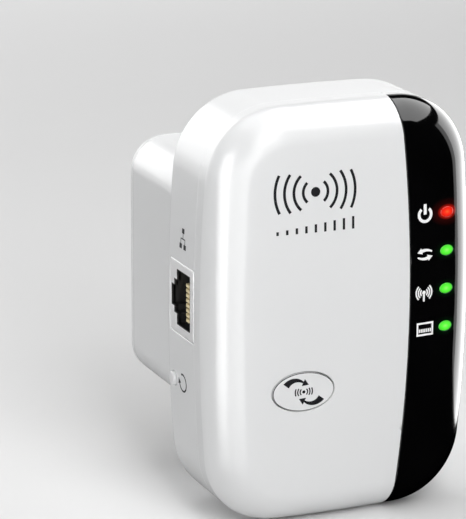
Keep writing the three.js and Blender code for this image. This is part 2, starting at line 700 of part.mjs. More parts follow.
function addScrews(board) {
  SCREWED_POSTS.forEach(([x, z], i) => {
    const head = solid(rodY(SCREW.head, -GAP - SCREW.headHeight, -GAP, x, z, 18));
    const shank = solid(rodY(SCREW.shank, -GAP - 0.1, SCREW.length, x, z, 12));
    const slotEnd = -GAP - SCREW.headHeight + SCREW.slotDepth;
    const slotHalf = SCREW.slotWidth / 2;
    const slot = box([x - 5, x + 5], [-5, slotEnd], [z - slotHalf, z + slotHalf]);
    add(board, `board_screw_${i + 1}`, head.add(shank).subtract(solid(slot)), 'steel');
  });
}

/** Two strip antennas inside the casing, each on its own coaxial lead. */
function addAntennas(board) {
  const top = add(board, 'antenna_top', new THREE.BoxGeometry(26, 6, 0.8), 'board');
  top.position.set(0, -5, 41.2);
  const side = add(board, 'antenna_side', new THREE.BoxGeometry(0.8, 6, 30), 'board');
  side.position.set(26.8, -5, -5);
  const leadRadius = 0.55;
  const topRoute = [
    [-8, -5, 40.3], [-8, -5.2, 36], [-5, -2.2, 30], [-1, -1.6, 24], [3, -1.2, 15.4],
  ];
  const sideRoute = [
    [25.9, -5, -17], [22.5, -4.6, -17.5], [18, -2, -18], [16, -1.4, -8], [13.5, -1.3, 5], [11.6, -1.2, 8],
  ];
  add(board, 'antenna_top_lead', wire(topRoute, leadRadius), 'black');
  add(board, 'antenna_side_lead', wire(sideRoute, leadRadius), 'black');
}

// ---------------------------------------------------------------- power board

function powerBoard() {
  const { size, radius } = POWER_BOARD;
  let board = solid(prism(roundedRectangle(size, size, radius), 0, BOARD_THICKNESS));
  for (const x of [-PIN.spacing / 2, PIN.spacing / 2]) {
    const halfWidth = PIN.width / 2 - PIN.neck + GAP;
    const halfHeight = PIN.height / 2 - PIN.neck + GAP;
    board = board.subtract(solid(pinBlock(x, halfWidth, halfHeight, -1, BOARD_THICKNESS + 1)));
  }
  return board;
}

/** Ferrite core with a middle leg, and the winding around that leg. */
function addTransformer(board, x, z) {
  const width = 16;
  const height = 14;
  const coreDepth = 8;
  const coilDepth = 12;
  const leg = 2.2; // half the width of the middle leg, and the full width of the outer ones
  const middle = -coilDepth / 2 - GAP;
  const windowHalf = height / 2 - leg;
  const windowEnd = width / 2 - leg;
  let core = solid(new THREE.BoxGeometry(width, coreDepth, height));
  for (const xRange of [[-windowEnd, -leg], [leg, windowEnd]]) {
    core = core.subtract(solid(box(xRange, [-coreDepth, coreDepth], [-windowHalf, windowHalf])));
  }
  const coreMesh = add(board, 'transformer_core', core, 'ferrite');
  coreMesh.position.set(x, middle, z);

  const reach = windowEnd - GAP;
  const coilHalf = windowHalf - GAP;
  const holeReach = coreDepth / 2 + GAP;
  const legHole = box([-leg - GAP, leg + GAP], [-holeReach, holeReach], [-height, height]);
  const coil = solid(box([-reach, reach], [-coilDepth / 2, coilDepth / 2], [-coilHalf, coilHalf]));
  const coilMesh = add(board, 'transformer_winding', coil.subtract(solid(legHole)), 'winding');
  coilMesh.position.set(x, middle, z);
}

function addPowerBoard() {
  const board = groupAt(0, POWER_BOARD.y, 0);
  add(board, 'power_board', powerBoard(), 'board');
  addTransformer(board, -2, 8);
  addCan(board, 'bulk_capacitor', [4.2, 14.5], [16, 6], 'chip');
  addCan(board, 'output_capacitor', [4, 12], [-17, 14], 'blue');
  addChip(board, 'bridge_rectifier', [4.7, 4, 2.6], [16.5, -6]);
  addLyingCan(board, 'fuse_resistor', [1.8, 9], [19, -15], 'red');
  addChip(board, 'switching_chip', [5, 6, 1.6], [0, -7]);
  addLyingCan(board, 'output_diode', [1.5, 7.5], [-19, 0], 'chip');
  addChip(board, 'safety_capacitor', [8, 4, 8], [0, -18], 'blue');
  const leadRadius = 0.65;
  const run = MAIN_BOARD.y + BOARD_THICKNESS - POWER_BOARD.y;
  const leads = [['positive', -16, 'red'], ['negative', -12, 'black']];
  for (const [name, x, finish] of leads) {
    const start = [[x, -GAP, -8], [x, -6, -9], [x + 2, run / 2, -14]];
    const end = [[x + 3, run + 7, -17], [x + 3, run + GAP, -17]];
    add(board, `dc_lead_${name}`, wire([...start, ...end], leadRadius), finish);
  }
}

addCasing();
addNetworkSocket();
addPlug();
addMainBoard();
addPowerBoard();

export default extender;
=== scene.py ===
"""Studio scene of the plug-in wifi range extender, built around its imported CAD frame.

Lengths are in millimetres until a mesh is made. Outlines of the body are drawn in x and z about
the body's middle; the front faces -Y and the pins point to +Y.
"""

import json
import math

import bmesh
import bpy
import numpy as np
from mathutils import Matrix, Vector
from mathutils.geometry import delaunay_2d_cdt


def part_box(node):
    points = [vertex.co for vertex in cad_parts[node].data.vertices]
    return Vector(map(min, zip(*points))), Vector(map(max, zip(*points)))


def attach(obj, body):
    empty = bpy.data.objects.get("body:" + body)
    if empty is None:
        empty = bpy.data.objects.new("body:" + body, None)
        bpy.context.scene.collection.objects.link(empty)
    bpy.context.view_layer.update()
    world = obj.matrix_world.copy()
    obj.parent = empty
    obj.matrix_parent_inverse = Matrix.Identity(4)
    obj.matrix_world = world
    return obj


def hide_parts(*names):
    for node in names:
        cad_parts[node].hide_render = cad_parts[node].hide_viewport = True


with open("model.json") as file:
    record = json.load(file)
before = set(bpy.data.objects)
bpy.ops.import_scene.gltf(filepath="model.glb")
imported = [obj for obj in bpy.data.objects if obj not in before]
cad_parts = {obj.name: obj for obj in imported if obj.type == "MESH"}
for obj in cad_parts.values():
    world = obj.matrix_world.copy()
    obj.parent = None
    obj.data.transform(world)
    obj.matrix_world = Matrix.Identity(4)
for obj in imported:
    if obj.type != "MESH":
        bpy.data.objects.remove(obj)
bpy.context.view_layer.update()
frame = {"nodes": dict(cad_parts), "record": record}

MM = 0.001


def span(node):
    """Lowest and highest corner of a CAD node, in millimetres."""
    low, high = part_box(node)
    return low / MM, high / MM


def middle_of(node):
    """Middle of a CAD node in x and z, in millimetres."""
    low, high = span(node)
    return (low.x + high.x) / 2, (low.z + high.z) / 2


# ---- where the CAD puts things

CAD_GAP = 0.3
CREASE_TO_SEAM = 3.3
REAR_DEPTH = 15
cover_low, cover_high = span("front_cover")
rear_low, rear_high = span("rear_cover")
plug_low, plug_high = span("plug_base")
panel_high = span("light_panel")[1]
jack_low, jack_high = span("lan_jack_shield")
button_high = span("wps_button")[1]
reset_low, reset_high = span("reset_button")

HALF_WIDTH = (rear_high.x - rear_low.x) / 2
HALF_HEIGHT = (rear_high.z - rear_low.z) / 2
MID_Z = (rear_high.z + rear_low.z) / 2
FRONT_Y = cover_low.y
SEAM_Y = cover_high.y + CAD_GAP / 2
CREASE_Y = SEAM_Y - CREASE_TO_SEAM
REAR_Y = SEAM_Y + REAR_DEPTH
PANEL_END = panel_high.y
CORNER_RADIUS = 16.5
SIDE_ARC_RADIUS = 400.0
END_ARC_RADIUS = 570.0

# How far the crown of the front falls at given distances, and the round from it to the crease.
CROWN = {"side_fall": 1.3, "side_at": 24.0, "end_fall": 1.3, "end_at": 38.6}
ROUND_REACH = 7.9
ROUND_START = 0.25
ROUND_WIDTH = ROUND_REACH * math.cos(ROUND_START)

FRONT_WALL = 2.2
PANEL_THICKNESS = 1.1
SIDE_WALL = 2.0
REAR_WALL = 1.5

# The curve between the cover and the panel: where it lies furthest out, and its radius.
EDGE = {"x": 14.1, "z": 2.0, "radius": 420.0}
WPS_MIDDLE = (-10.9, -14.95)
WPS_HALF = (7.0, 4.3)
WPS_RISE = 0.22
WPS_FLANGE = {"depth": 3.6, "thickness": 1.0, "margin": 1.2}
WPS_STEM_RADIUS = 1.7
RESET = {"radius": 1.55, "y": -34.6, "z": (reset_low.z + reset_high.z) / 2}
VENT = {"count": 7, "pitch": 3.6, "width": 1.4, "front": -42.0, "rear": -35.5}

HOUSING_HALF = ((plug_high.x - plug_low.x) / 2, (plug_high.z - plug_low.z) / 2)
HOUSING_RADIUS = 8.0
HOUSING_WALL = 2.0
HOUSING_ROOT_RADIUS = 0.45
HOUSING_END_RADIUS = 0.25
REAR_EDGE_RADIUS = 1.0
PLUG_RIM = 1.2

# Small sizes that only the fine meshes have.
SEAM_GAP = 0.015
PANEL_GAP = 0.09
HOLE_GAP = 0.2
JACK_GAP = 0.1
RESET_GAP = 0.14
PLUG_GAP = 0.06
CHAMFER = 0.04
COVER_EDGE_RADIUS = 0.16
PANEL_EDGE_RADIUS = 0.12
BUTTON_EDGE_RADIUS = 0.3


# ---- outline and front surface

def arc_middles():
    """Middles of the side, end and corner arcs of one quarter, each tangent to the next."""
    side = np.array([HALF_WIDTH - SIDE_ARC_RADIUS, 0.0])
    end = np.array([0.0, HALF_HEIGHT - END_ARC_RADIUS])
    side_reach = SIDE_ARC_RADIUS - CORNER_RADIUS
    end_reach = END_ARC_RADIUS - CORNER_RADIUS
    apart = end - side
    distance = np.hypot(*apart)
    along = (side_reach ** 2 - end_reach ** 2 + distance ** 2) / (2 * distance)
    across = math.sqrt(side_reach ** 2 - along ** 2)
    unit = apart / distance
    corner = side + unit * along + np.array([-unit[1], unit[0]]) * across
    return side, end, corner


SIDE, END, CORNER = arc_middles()
SIDE_TURN = math.atan2(CORNER[1], CORNER[0] - SIDE[0])
END_TURN = math.atan2(CORNER[1] - END[1], CORNER[0])
# Points along the side, the corner and the end of a quarter of an outline.
QUARTER_STEPS = (14, 26, 9)
NORMAL_INSET = 0.06


def arc(middle, radius, start, end, steps):
    angles = np.linspace(start, end, steps, endpoint=False)
    xs = middle[0] + radius * np.cos(angles)
    return np.column_stack((xs, middle[1] + radius * np.sin(angles)))


def whole_ring(quarter, top):
    """Mirrors a quarter, which runs from the right-hand middle towards the top middle."""
    right = quarter[:1]
    inner = quarter[1:]
    back = inner[::-1]
    return np.vstack((
        right, inner, [(0, top)], back * (-1, 1),
        right * (-1, 1), inner * (-1, -1), [(0, -top)], back * (1, -1),
    ))


def body_ring(inset=0.0):
    """The body's outline moved inwards."""
    quarter = np.vstack((
        arc(SIDE, SIDE_ARC_RADIUS - inset, 0, SIDE_TURN, QUARTER_STEPS[0]),
        arc(CORNER, CORNER_RADIUS - inset, SIDE_TURN, END_TURN, QUARTER_STEPS[1]),
        arc(END, END_ARC_RADIUS - inset, END_TURN, math.pi / 2, QUARTER_STEPS[2]),
    ))
    return whole_ring(quarter, HALF_HEIGHT - inset)


def rounded_ring(half_x, half_z, radius, steps=QUARTER_STEPS):
    """A rectangle with round corners, with as many points as the body's outline."""
    middle = (half_x - radius, half_z - radius)
    rise = np.linspace(0, middle[1], steps[0], endpoint=False)
    run = np.linspace(middle[0], 0, steps[2], endpoint=False)
    quarter = np.vstack((
        np.column_stack((np.full(steps[0], half_x), rise)),
        arc(middle, radius, 0, math.pi / 2, steps[1]),
        np.column_stack((run, np.full(steps[2], half_z))),
    ))
    return whole_ring(quarter, half_z)


def housing_ring(inset=0.0):
    """The plug housing's outline moved inwards, about its own middle."""
    return rounded_ring(HOUSING_HALF[0] - inset, HOUSING_HALF[1] - inset, HOUSING_RADIUS - inset)


def outline_at(x, z):
    """How far points lie inside the outline, and the outline's outward direction there."""
    ax = np.abs(x)
    az = np.abs(z)
    side = np.hypot(ax - SIDE[0], az)
    end = np.hypot(ax, az - END[1])
    cx = ax - CORNER[0]
    cz = az - CORNER[1]
    corner = np.maximum(np.hypot(cx, cz), 1e-9)
    turn = np.arctan2(cz, cx)
    in_corner = (turn > SIDE_TURN) & (turn < END_TURN)
    by_side = SIDE_ARC_RADIUS - side
    by_end = END_ARC_RADIUS - end
    nearer_side = by_side < by_end
    inset = np.where(in_corner, CORNER_RADIUS - corner, np.minimum(by_side, by_end))
    nx = np.where(in_corner, cx / corner, np.where(nearer_side, (ax - SIDE[0]) / side, ax / end))
    nz = np.where(in_corner, cz / corner, np.where(nearer_side, az / side, (az - END[1]) / end))
    return inset, nx * np.where(x < 0, -1, 1), nz * np.where(z < 0, -1, 1)


def front_y(x, z):
    """Depth of the front surface: a shallow crown that an elliptical round takes to the crease."""
    inset = np.maximum(outline_at(x, z)[0], 0)
    cos_turn = np.maximum(math.cos(ROUND_START) - inset / ROUND_REACH, 0)
    sin_turn = np.sqrt(1 - cos_turn ** 2)
    crown = FRONT_Y + CROWN["side_fall"] * (x / CROWN["side_at"]) ** 2
    crown = crown + CROWN["end_fall"] * (z / CROWN["end_at"]) ** 2
    return crown + (CREASE_Y - crown) * (1 - sin_turn) / (1 - math.sin(ROUND_START))


def front_normal(x, z):
    """Outward direction of the front surface, taken just inside the outline."""
    inset, nx, nz = outline_at(x, z)
    pull = np.maximum(NORMAL_INSET - inset, 0)
    x = x - nx * pull
    z = z - nz * pull
    step = 0.02
    slope_x = (front_y(x + step, z) - front_y(x - step, z)) / (2 * step)
    slope_z = (front_y(x, z + step) - front_y(x, z - step)) / (2 * step)
    normal = np.column_stack((slope_x, -np.ones_like(slope_x), slope_z))
    return normal / np.linalg.norm(normal, axis=1, keepdims=True)


def edge_x(z):
    """The curve between the white cover and the black panel."""
    return EDGE["x"] - EDGE["radius"] + np.sqrt(EDGE["radius"] ** 2 - (z - EDGE["z"]) ** 2)


def roll(distance, radius):
    """How far a rounded edge has dropped at a distance from it."""
    short = np.clip(radius - distance, 0, radius)
    return radius - np.sqrt(radius ** 2 - short ** 2)


# ---- meshes and pieces

SHARP_EDGE = math.radians(32)
MERGE_METRES = 1e-8


def band(near, far):
    """Faces between two closed loops of point numbers."""
    return list(zip(near, near[1:] + near[:1], far[1:] + far[:1], far))


def loft(rings, wrap=False):
    """Joins rings of 3-D points into one surface, closed by flat ends or back on itself."""
    count = len(rings[0])
    loops = [list(range(i * count, (i + 1) * count)) for i in range(len(rings))]
    faces = []
    for near, far in zip(loops, loops[1:]):
        faces += band(near, far)
    faces += band(loops[-1], loops[0]) if wrap else [tuple(loops[0]), tuple(loops[-1])]
    return np.vstack(rings), faces


def along_y(ring, y, middle):
    return np.column_stack((ring[:, 0] + middle[0], np.full(len(ring), y), ring[:, 1] + middle[1]))


def stack_y(sections, middle=(0, 0)):
    """Rings along Y, from (ring, y) pairs."""
    return [along_y(ring, y, middle) for ring, y in sections]


def along_x(ring, x, middle):
    """A ring drawn in y and z, at x."""
    return np.column_stack((np.full(len(ring), x), ring[:, 0] + middle[0], ring[:, 1] + middle[1]))


def circle(radius, steps=40):
    return ellipse(radius, radius, steps)


def ellipse(half_x, half_z, steps):
    angles = np.linspace(0, 2 * math.pi, steps, endpoint=False)
    return np.column_stack((half_x * np.cos(angles), half_z * np.sin(angles)))


def merge(parts):
    """Several (points, faces) as one."""
    points = []
    faces = []
    start = 0
    for part_points, part_faces in parts:
        points.append(part_points)
        faces.extend(tuple(start + i for i in face) for face in part_faces)
        start += len(part_points)
    return np.vstack(points), faces


def shade_edges(mesh):
    """Smooth shading, but for edges sharper than SHARP_EDGE."""
    mesh.shade_smooth()
    mesh.set_sharp_from_angle(angle=SHARP_EDGE)


def mesh_of(name, shape):
    """A mesh in metres, with outward normals."""
    points, faces = shape
    mesh = bpy.data.meshes.new(name)
    mesh.from_pydata([tuple(p) for p in np.asarray(points) * MM], [], faces)
    form = bmesh.new()
    form.from_mesh(mesh)
    bmesh.ops.remove_doubles(form, verts=form.verts, dist=MERGE_METRES)
    bmesh.ops.recalc_face_normals(form, faces=form.faces)
    form.to_mesh(mesh)
    form.free()
    shade_edges(mesh)
    return mesh


def add_object(name, data):
    obj = bpy.data.objects.new(name, data)
    bpy.context.scene.collection.objects.link(obj)
    return obj


def cut(mesh, cutters):
    """The mesh with the cutters' shapes taken away."""
    target = add_object("cut_target", mesh)
    tools = []
    for i, shape in enumerate(cutters):
        tool = add_object(f"cut_tool_{i}", mesh_of(f"cut_tool_{i}", shape))
        modifier = target.modifiers.new(f"cut_{i}", "BOOLEAN")
        modifier.object = tool
        modifier.operation = "DIFFERENCE"
        modifier.solver = "EXACT"
        tools.append(tool)
    graph = bpy.context.evaluated_depsgraph_get()
    result = bpy.data.meshes.new_from_object(target.evaluated_get(graph))
    for spare in (target, *tools):
        spare_mesh = spare.data
        bpy.data.objects.remove(spare)
        bpy.data.meshes.remove(spare_mesh)
    shade_edges(result)
    return result


def piece(name, mesh, slot, body="root", replaces=(), material=None):
    """Adds a piece that rides on a body, stands for some CAD nodes and has the material given, or else its
    slot's material.
    """
    if not isinstance(mesh, bpy.types.Mesh):
        mesh = mesh_of(name, mesh)
    mesh.name = name
    mesh.materials.clear()
    mesh.materials.append(material or MATERIALS[slot])
    obj = add_object(name, mesh)
    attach(obj, body)
    if replaces:
        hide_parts(*replaces)


# ---- lamps

# Colours of a lens and its core, and of the painted glow on the panel near and far from it, out to reach.
RED_LAMP = {
    "slot": "red_lens", "lens": (0.85, 0.02, 0.008), "core": (1.0, 0.10, 0.02),
    "near": (0.36, 0.008, 0.003), "far": (0.02, 0.001, 0.0005), "reach": 4.6,
}
GREEN_LAMP = {
    "slot": "green_lens", "lens": (0.09, 0.85, 0.04), "core": (0.30, 1.0, 0.16),
    "near": (0.0, 0.07, 0.008), "far": (0.0, 0.006, 0.001), "reach": 3.2,
}
LAMPS = {"power": RED_LAMP, "sync": GREEN_LAMP, "signal": GREEN_LAMP, "device": GREEN_LAMP}
LAMP_FLATTEN = 1.45
LENS_REACH = 1.7
# Distance out to which the painted glow round a lamp keeps its near colour.
GLOW_START = 1.75


# ---- materials

BUMP_DEPTH = 0.0001
ROUGHNESS_SPREAD = 0.04
LEAST_ROUGHNESS = 0.02


def connect(tree, made, inputs):
    """Gives inputs of a shader node their values, or links other nodes' outputs to them."""
    for key, value in inputs.items():
        if isinstance(value, bpy.types.NodeSocket):
            tree.links.new(value, made.inputs[key])
        else:
            made.inputs[key].default_value = value


def node(tree, kind, inputs, **settings):
    made = tree.nodes.new(kind)
    for key, value in settings.items():
        setattr(made, key, value)
    connect(tree, made, inputs)
    return made


def new_material(name):
    material = bpy.data.materials.new(name)
    material.use_nodes = True
    return material, material.node_tree, material.node_tree.nodes["Principled BSDF"]


def coordinates(tree, stretch=(1, 1, 1), shift=(0, 0, 0)):
    """Object coordinates in metres, stretched and then shifted."""
    source = node(tree, "ShaderNodeTexCoord", {})
    inputs = {"Vector": source.outputs["Object"], "Scale": stretch, "Location": shift}
    return node(tree, "ShaderNodeMapping", inputs).outputs["Vector"]


def noise(tree, vector, scale, detail=3.0):
    inputs = {"Vector": vector, "Scale": scale, "Detail": detail}
    return node(tree, "ShaderNodeTexNoise", inputs).outputs["Fac"]


def remap(tree, value, low, high):
    inputs = {"Value": value, "To Min": low, "To Max": high}
    return node(tree, "ShaderNodeMapRange", inputs).outputs["Result"]


def relief(tree, height, strength):
    inputs = {"Height": height, "Strength": strength, "Distance": BUMP_DEPTH}
    return node(tree, "ShaderNodeBump", inputs).outputs["Normal"]


def ramp(tree, value, stops):
    """A colour that passes through (value, colour) stops."""
    made = node(tree, "ShaderNodeValToRGB", {"Fac": value})
    elements = made.color_ramp.elements
    while len(elements) < len(stops):
        elements.new(0.5)
    for element, (place, colour) in zip(elements, stops):
        element.position = place
        element.color = (*colour, 1)
    return made.outputs["Color"]


def blend_colours(tree, value, dark, light):
    return ramp(tree, value, [(0.3, dark), (0.7, light)])


def tinted(colour, share):
    return tuple(min(c * share, 1) for c in colour)


def moulded(name, colour, roughness, shade=0.03, patch=60, grain=2600, bump=0.02, metal=0.0,
            stretch=(1, 1, 1), specular=0.5):
    """A surface with slow colour variation, and fine grain in its roughness and bump."""
    material, tree, shader = new_material(name)
    vector = coordinates(tree, stretch)
    slow = noise(tree, vector, patch)
    fine = noise(tree, vector, grain, 4.0)
    smoothest = max(roughness - ROUGHNESS_SPREAD, LEAST_ROUGHNESS)
    connect(tree, shader, {
        "Base Color": blend_colours(tree, slow, tinted(colour, 1 - shade), tinted(colour, 1 + shade)),
        "Roughness": remap(tree, fine, smoothest, roughness + ROUGHNESS_SPREAD),
        "Normal": relief(tree, fine, bump),
        "Metallic": metal,
        "Specular IOR Level": specular,
    })
    return material


def lamp_distance(tree, name):
    """Distance in the front plane from a lamp's middle, in millimetres, flattened to its ellipse."""
    x, z = middle_of(f"light_pipe_{name}")
    vector = coordinates(tree, (1 / MM, 0, LAMP_FLATTEN / MM), (-x, 0, -z * LAMP_FLATTEN))
    return node(tree, "ShaderNodeVectorMath", {0: vector}, operation="LENGTH").outputs["Value"]


def glow_ramp(tree, name, reach, stops):
    """Light that changes with distance from a lamp, as a colour."""
    inputs = {0: lamp_distance(tree, name), 1: reach}
    scaled = node(tree, "ShaderNodeMath", inputs, operation="DIVIDE")
    return ramp(tree, scaled.outputs["Value"], stops)


def lens_material(name, lamp):
    """A lit lens: its colour, and a paler core."""
    material, tree, shader = new_material(f"lens_{name}")
    colour = lamp["lens"]
    fine = noise(tree, coordinates(tree), 900)
    stops = [(0.0, lamp["core"]), (0.45, colour), (1.0, tinted(colour, 0.55))]
    connect(tree, shader, {
        "Emission Color": glow_ramp(tree, name, LENS_REACH, stops),
        "Emission Strength": 1.0,
        "Roughness": remap(tree, fine, 0.14, 0.24),
        "Base Color": blend_colours(tree, fine, tinted(colour, 0.2), tinted(colour, 0.3)),
    })
    return material


def painted_lamp_halo(tree):
    """Painted glow that spreads round each lamp on the panel's face, added up."""
    total = None
    for name, lamp in LAMPS.items():
        near = lamp["near"]
        reach = lamp["reach"]
        stops = [(0.0, near), (GLOW_START / reach, near), (0.55, lamp["far"]), (1.0, (0, 0, 0))]
        colour = glow_ramp(tree, name, reach, stops)
        if total is None:
            total = colour
            continue
        inputs = {"Factor": 1, "A": total, "B": colour}
        mix = node(tree, "ShaderNodeMix", inputs, data_type="RGBA", blend_type="ADD")
        total = mix.outputs["Result"]
    return total


def panel_material():
    """High-gloss black, with painted glow round the lamps."""
    material, tree, shader = new_material("panel_black")
    vector = coordinates(tree)
    slow = noise(tree, vector, 45)
    connect(tree, shader, {
        "Base Color": blend_colours(tree, slow, (0.0008, 0.0008, 0.0009), (0.0016, 0.0016, 0.0018)),
        "Roughness": remap(tree, noise(tree, vector, 1500), 0.05, 0.09),
        "Normal": relief(tree, slow, 0.012),
        # Painted glow round the lamps, given off by the panel's face.
        "Emission Color": painted_lamp_halo(tree),
        "Emission Strength": 1.0,
        "Specular IOR Level": 0.25,
    })
    return material


def board_material():
    """Green solder mask over faint copper tracks."""
    material, tree, shader = new_material("circuit_board")
    vector = coordinates(tree)
    tracks = node(tree, "ShaderNodeTexBrick", {
        "Vector": vector, "Scale": 260, "Mortar Size": 0.03,
        "Color1": (0.012, 0.10, 0.035, 1), "Color2": (0.015, 0.12, 0.045, 1), "Mortar": (0.03, 0.20, 0.08, 1),
    })
    rough = remap(tree, noise(tree, vector, 800), 0.3, 0.45)
    connect(tree, shader, {"Base Color": tracks.outputs["Color"], "Roughness": rough})
    return material


MATERIALS = {
    "white_shell": moulded("shell_white", (0.80, 0.805, 0.81), 0.23, shade=0.008, patch=25, grain=1800),
    "plug_nylon": moulded("plug_nylon", (0.74, 0.745, 0.75), 0.42, shade=0.015, bump=0.05),
    "pin_brass": moulded("pin_brass", (0.78, 0.60, 0.30), 0.28, metal=1.0, stretch=(1, 0.06, 1)),
    "pin_sleeve": moulded("pin_sleeve", (0.018, 0.018, 0.02), 0.5, shade=0.1, bump=0.08),
    "jack_metal": moulded("jack_tin", (0.93, 0.93, 0.935), 0.34, metal=0.2, grain=1500, stretch=(1, 1, 0.1)),
    "black_plastic": moulded("black_moulding", (0.012, 0.012, 0.013), 0.45, shade=0.1, bump=0.06),
    "contact_gold": moulded("contact_gold", (0.98, 0.84, 0.52), 0.35, metal=0.2, bump=0.01),
    "circuit_board": board_material(),
    "chip_resin": moulded("chip_resin", (0.02, 0.02, 0.022), 0.55, shade=0.2, bump=0.1),
    "tinned_can": moulded("tinned_can", (0.75, 0.76, 0.77), 0.3, metal=1.0, stretch=(1, 0.1, 1)),
    "ferrite": moulded("ferrite", (0.05, 0.048, 0.046), 0.7, shade=0.25, grain=5000, bump=0.2),
    "winding_tape": moulded("winding_tape", (0.62, 0.45, 0.04), 0.35, shade=0.06, stretch=(1, 6, 1)),
    "blue_coating": moulded("blue_coating", (0.03, 0.12, 0.36), 0.3, shade=0.1, bump=0.1),
    "red_insulation": moulded("red_insulation", (0.45, 0.02, 0.02), 0.4, shade=0.08),
    "black_insulation": moulded("black_insulation", (0.015, 0.015, 0.015), 0.45, shade=0.1),
    "screw_steel": moulded("screw_steel", (0.55, 0.56, 0.57), 0.3, metal=1.0),
    "black_panel": panel_material(),
    "red_lens": moulded("led_red", (0.7, 0.05, 0.03), 0.2),
    "green_lens": moulded("led_green", (0.08, 0.7, 0.1), 0.2),
}

for part in frame["record"]["subparts"]:
    cad_mesh = frame["nodes"][part["node"]].data
    cad_mesh.materials.clear()
    cad_mesh.materials.append(MATERIALS[part["material_slot"]])


# ---- front cover and black panel

INSIDE, AT_HOLE, AT_EDGE, AT_OUTLINE, AT_CORNER = range(5)
ROUND_ROWS = 24
WALL_ROW_STEP = 0.12
GRID_STEP = 1.9
GRID_ROW_STEP = GRID_STEP * 0.87
CLEAR_OF_ROWS = 0.45
EDGE_ROWS = 6
EDGE_APRON = 0.3
EDGE_BLEND = 5
# A crossing is looked for from this height up, by halving the stretch that holds it.
LEAST_CROSSING = 20.0
HALVINGS = 45
RIM_START = 0.6


def round_insets():
    """Insets of the rows of points over the round, closer together where it turns fastest."""
    turns = np.linspace(ROUND_START, math.pi / 2, ROUND_ROWS)
    insets = ROUND_REACH * (math.cos(ROUND_START) - np.cos(turns))
    return np.concatenate(([0, WALL_ROW_STEP], insets[insets > 2 * WALL_ROW_STEP]))


def row_heights(shift):
    """Heights at which a curve beside the panel's edge crosses each row of the round."""
    heights = []
    for sign in (-1, 1):
        low = np.full(len(round_insets()), LEAST_CROSSING)
        high = np.full(len(low), HALF_HEIGHT + 1)
        for _ in range(HALVINGS):
            middle = (low + high) / 2
            inset = outline_at(edge_x(sign * middle) + shift, sign * middle)[0]
            inside = inset > round_insets()
            low = np.where(inside, middle, low)
            high = np.where(inside, high, middle)
        heights.append(sign * (low + high) / 2)
    bottom = heights[0]
    top = heights[1][::-1]
    count = int((top[0] - bottom[-1]) / GRID_STEP)
    middle = np.linspace(bottom[-1], top[0], count + 2)[1:-1]
    return np.concatenate((bottom, middle, top))


def edge_rows(radius):
    """Distances from an edge of the rows of points that round it off."""
    turns = np.linspace(0, math.pi / 2, EDGE_ROWS)
    return [*(radius * (1 - np.cos(turns))), radius + EDGE_APRON]


def in_hole(x, z, hole, margin):
    cx, cz, half_x, half_z, _ = hole
    return ((x - cx) / (half_x + margin)) ** 2 + ((z - cz) / (half_z + margin)) ** 2 < 1


def front_points(side, holes, radius):
    """Points over the cover (side -1) or the panel (side 1), and the loops that must stay edges.

    Each point is x, z, how far its edge rounding drops it, and its kind.
    """
    points = []
    loops = []
    rows = edge_rows(radius)
    for n, distance in enumerate(rows):
        shift = side * (PANEL_GAP / 2 + distance)
        heights = row_heights(shift)
        ids = []
        for i, z in enumerate(heights):
            at_end = i in (0, len(heights) - 1)
            kind = AT_OUTLINE if at_end else INSIDE
            if n == 0:
                kind = AT_CORNER if at_end else AT_EDGE
            ids.append(len(points))
            points.append((edge_x(z) + shift, z, roll(distance, radius), kind))
        if n == 0:
            loops.append(ids)
    for hole in holes:
        cx, cz, half_x, half_z, steps = hole
        for n, distance in enumerate(rows):
            ring = ellipse(half_x + distance, half_z + distance, steps) + (cx, cz)
            first = len(points)
            kind = INSIDE if n else AT_HOLE
            points.extend((x, z, roll(distance, radius), kind) for x, z in ring)
            if n == 0:
                loops.append([*range(first, len(points)), first])
    clear = rows[-1] + CLEAR_OF_ROWS

    def is_clear(x, z):
        if side * (x - edge_x(z)) < PANEL_GAP / 2 + clear:
            return False
        return not any(in_hole(x, z, hole, clear) for hole in holes)

    for inset in round_insets():
        kind = INSIDE if inset else AT_OUTLINE
        points.extend((x, z, 0, kind) for x, z in body_ring(inset) if is_clear(x, z))
    across = np.arange(-HALF_WIDTH, HALF_WIDTH, GRID_STEP)
    for i, z in enumerate(np.arange(-HALF_HEIGHT, HALF_HEIGHT, GRID_ROW_STEP)):
        for x in across + (i % 2) * GRID_STEP / 2:
            if outline_at(x, z)[0] > ROUND_WIDTH + 0.7 * GRID_STEP and is_clear(x, z):
                points.append((x, z, 0, INSIDE))
    return points, loops


def rim_points(skin):
    """Outline points, outward directions and inner points of the rim behind the panel."""
    ring = body_ring()
    ring = ring[ring[:, 0] > edge_x(ring[:, 1]) + RIM_START]
    ring = ring[np.argsort(-ring[:, 1])]
    _, nx, nz = outline_at(ring[:, 0], ring[:, 1])
    inner_y = front_y(ring[:, 0], ring[:, 1]) + skin
    for (x, z), a, b, y in zip(ring, nx, nz, inner_y):
        yield np.array([x, y, z]), np.array([a, 0, b]), np.array([x - a * skin, y, z - b * skin])


def triangles(side, holes, radius):
    """The front's points as x, z, drop and kind, and the triangles between them, clear of the holes."""
    points, loops = front_points(side, holes, radius)
    edges = [pair for loop in loops for pair in zip(loop, loop[1:])]
    flat = [Vector((x, z)) for x, z, _, _ in points]
    made = delaunay_2d_cdt(flat, edges, [], 0, 1e-6)
    source = [max(ids, key=lambda i: points[i][3]) for ids in made[3]]
    x, z, drop, kind = (np.array(column) for column in zip(*(points[i] for i in source)))

    def keep(face):
        cx = sum(x[i] for i in face) / 3
        cz = sum(z[i] for i in face) / 3
        if side * (cx - edge_x(cz)) < PANEL_GAP / 2 - 1e-3:
            return False
        return not any(in_hole(cx, cz, hole, -hole[2] * (1 - math.cos(math.pi / hole[4]))) for hole in holes)

    return x, z, drop, kind, [tuple(face) for face in made[2] if keep(face)]


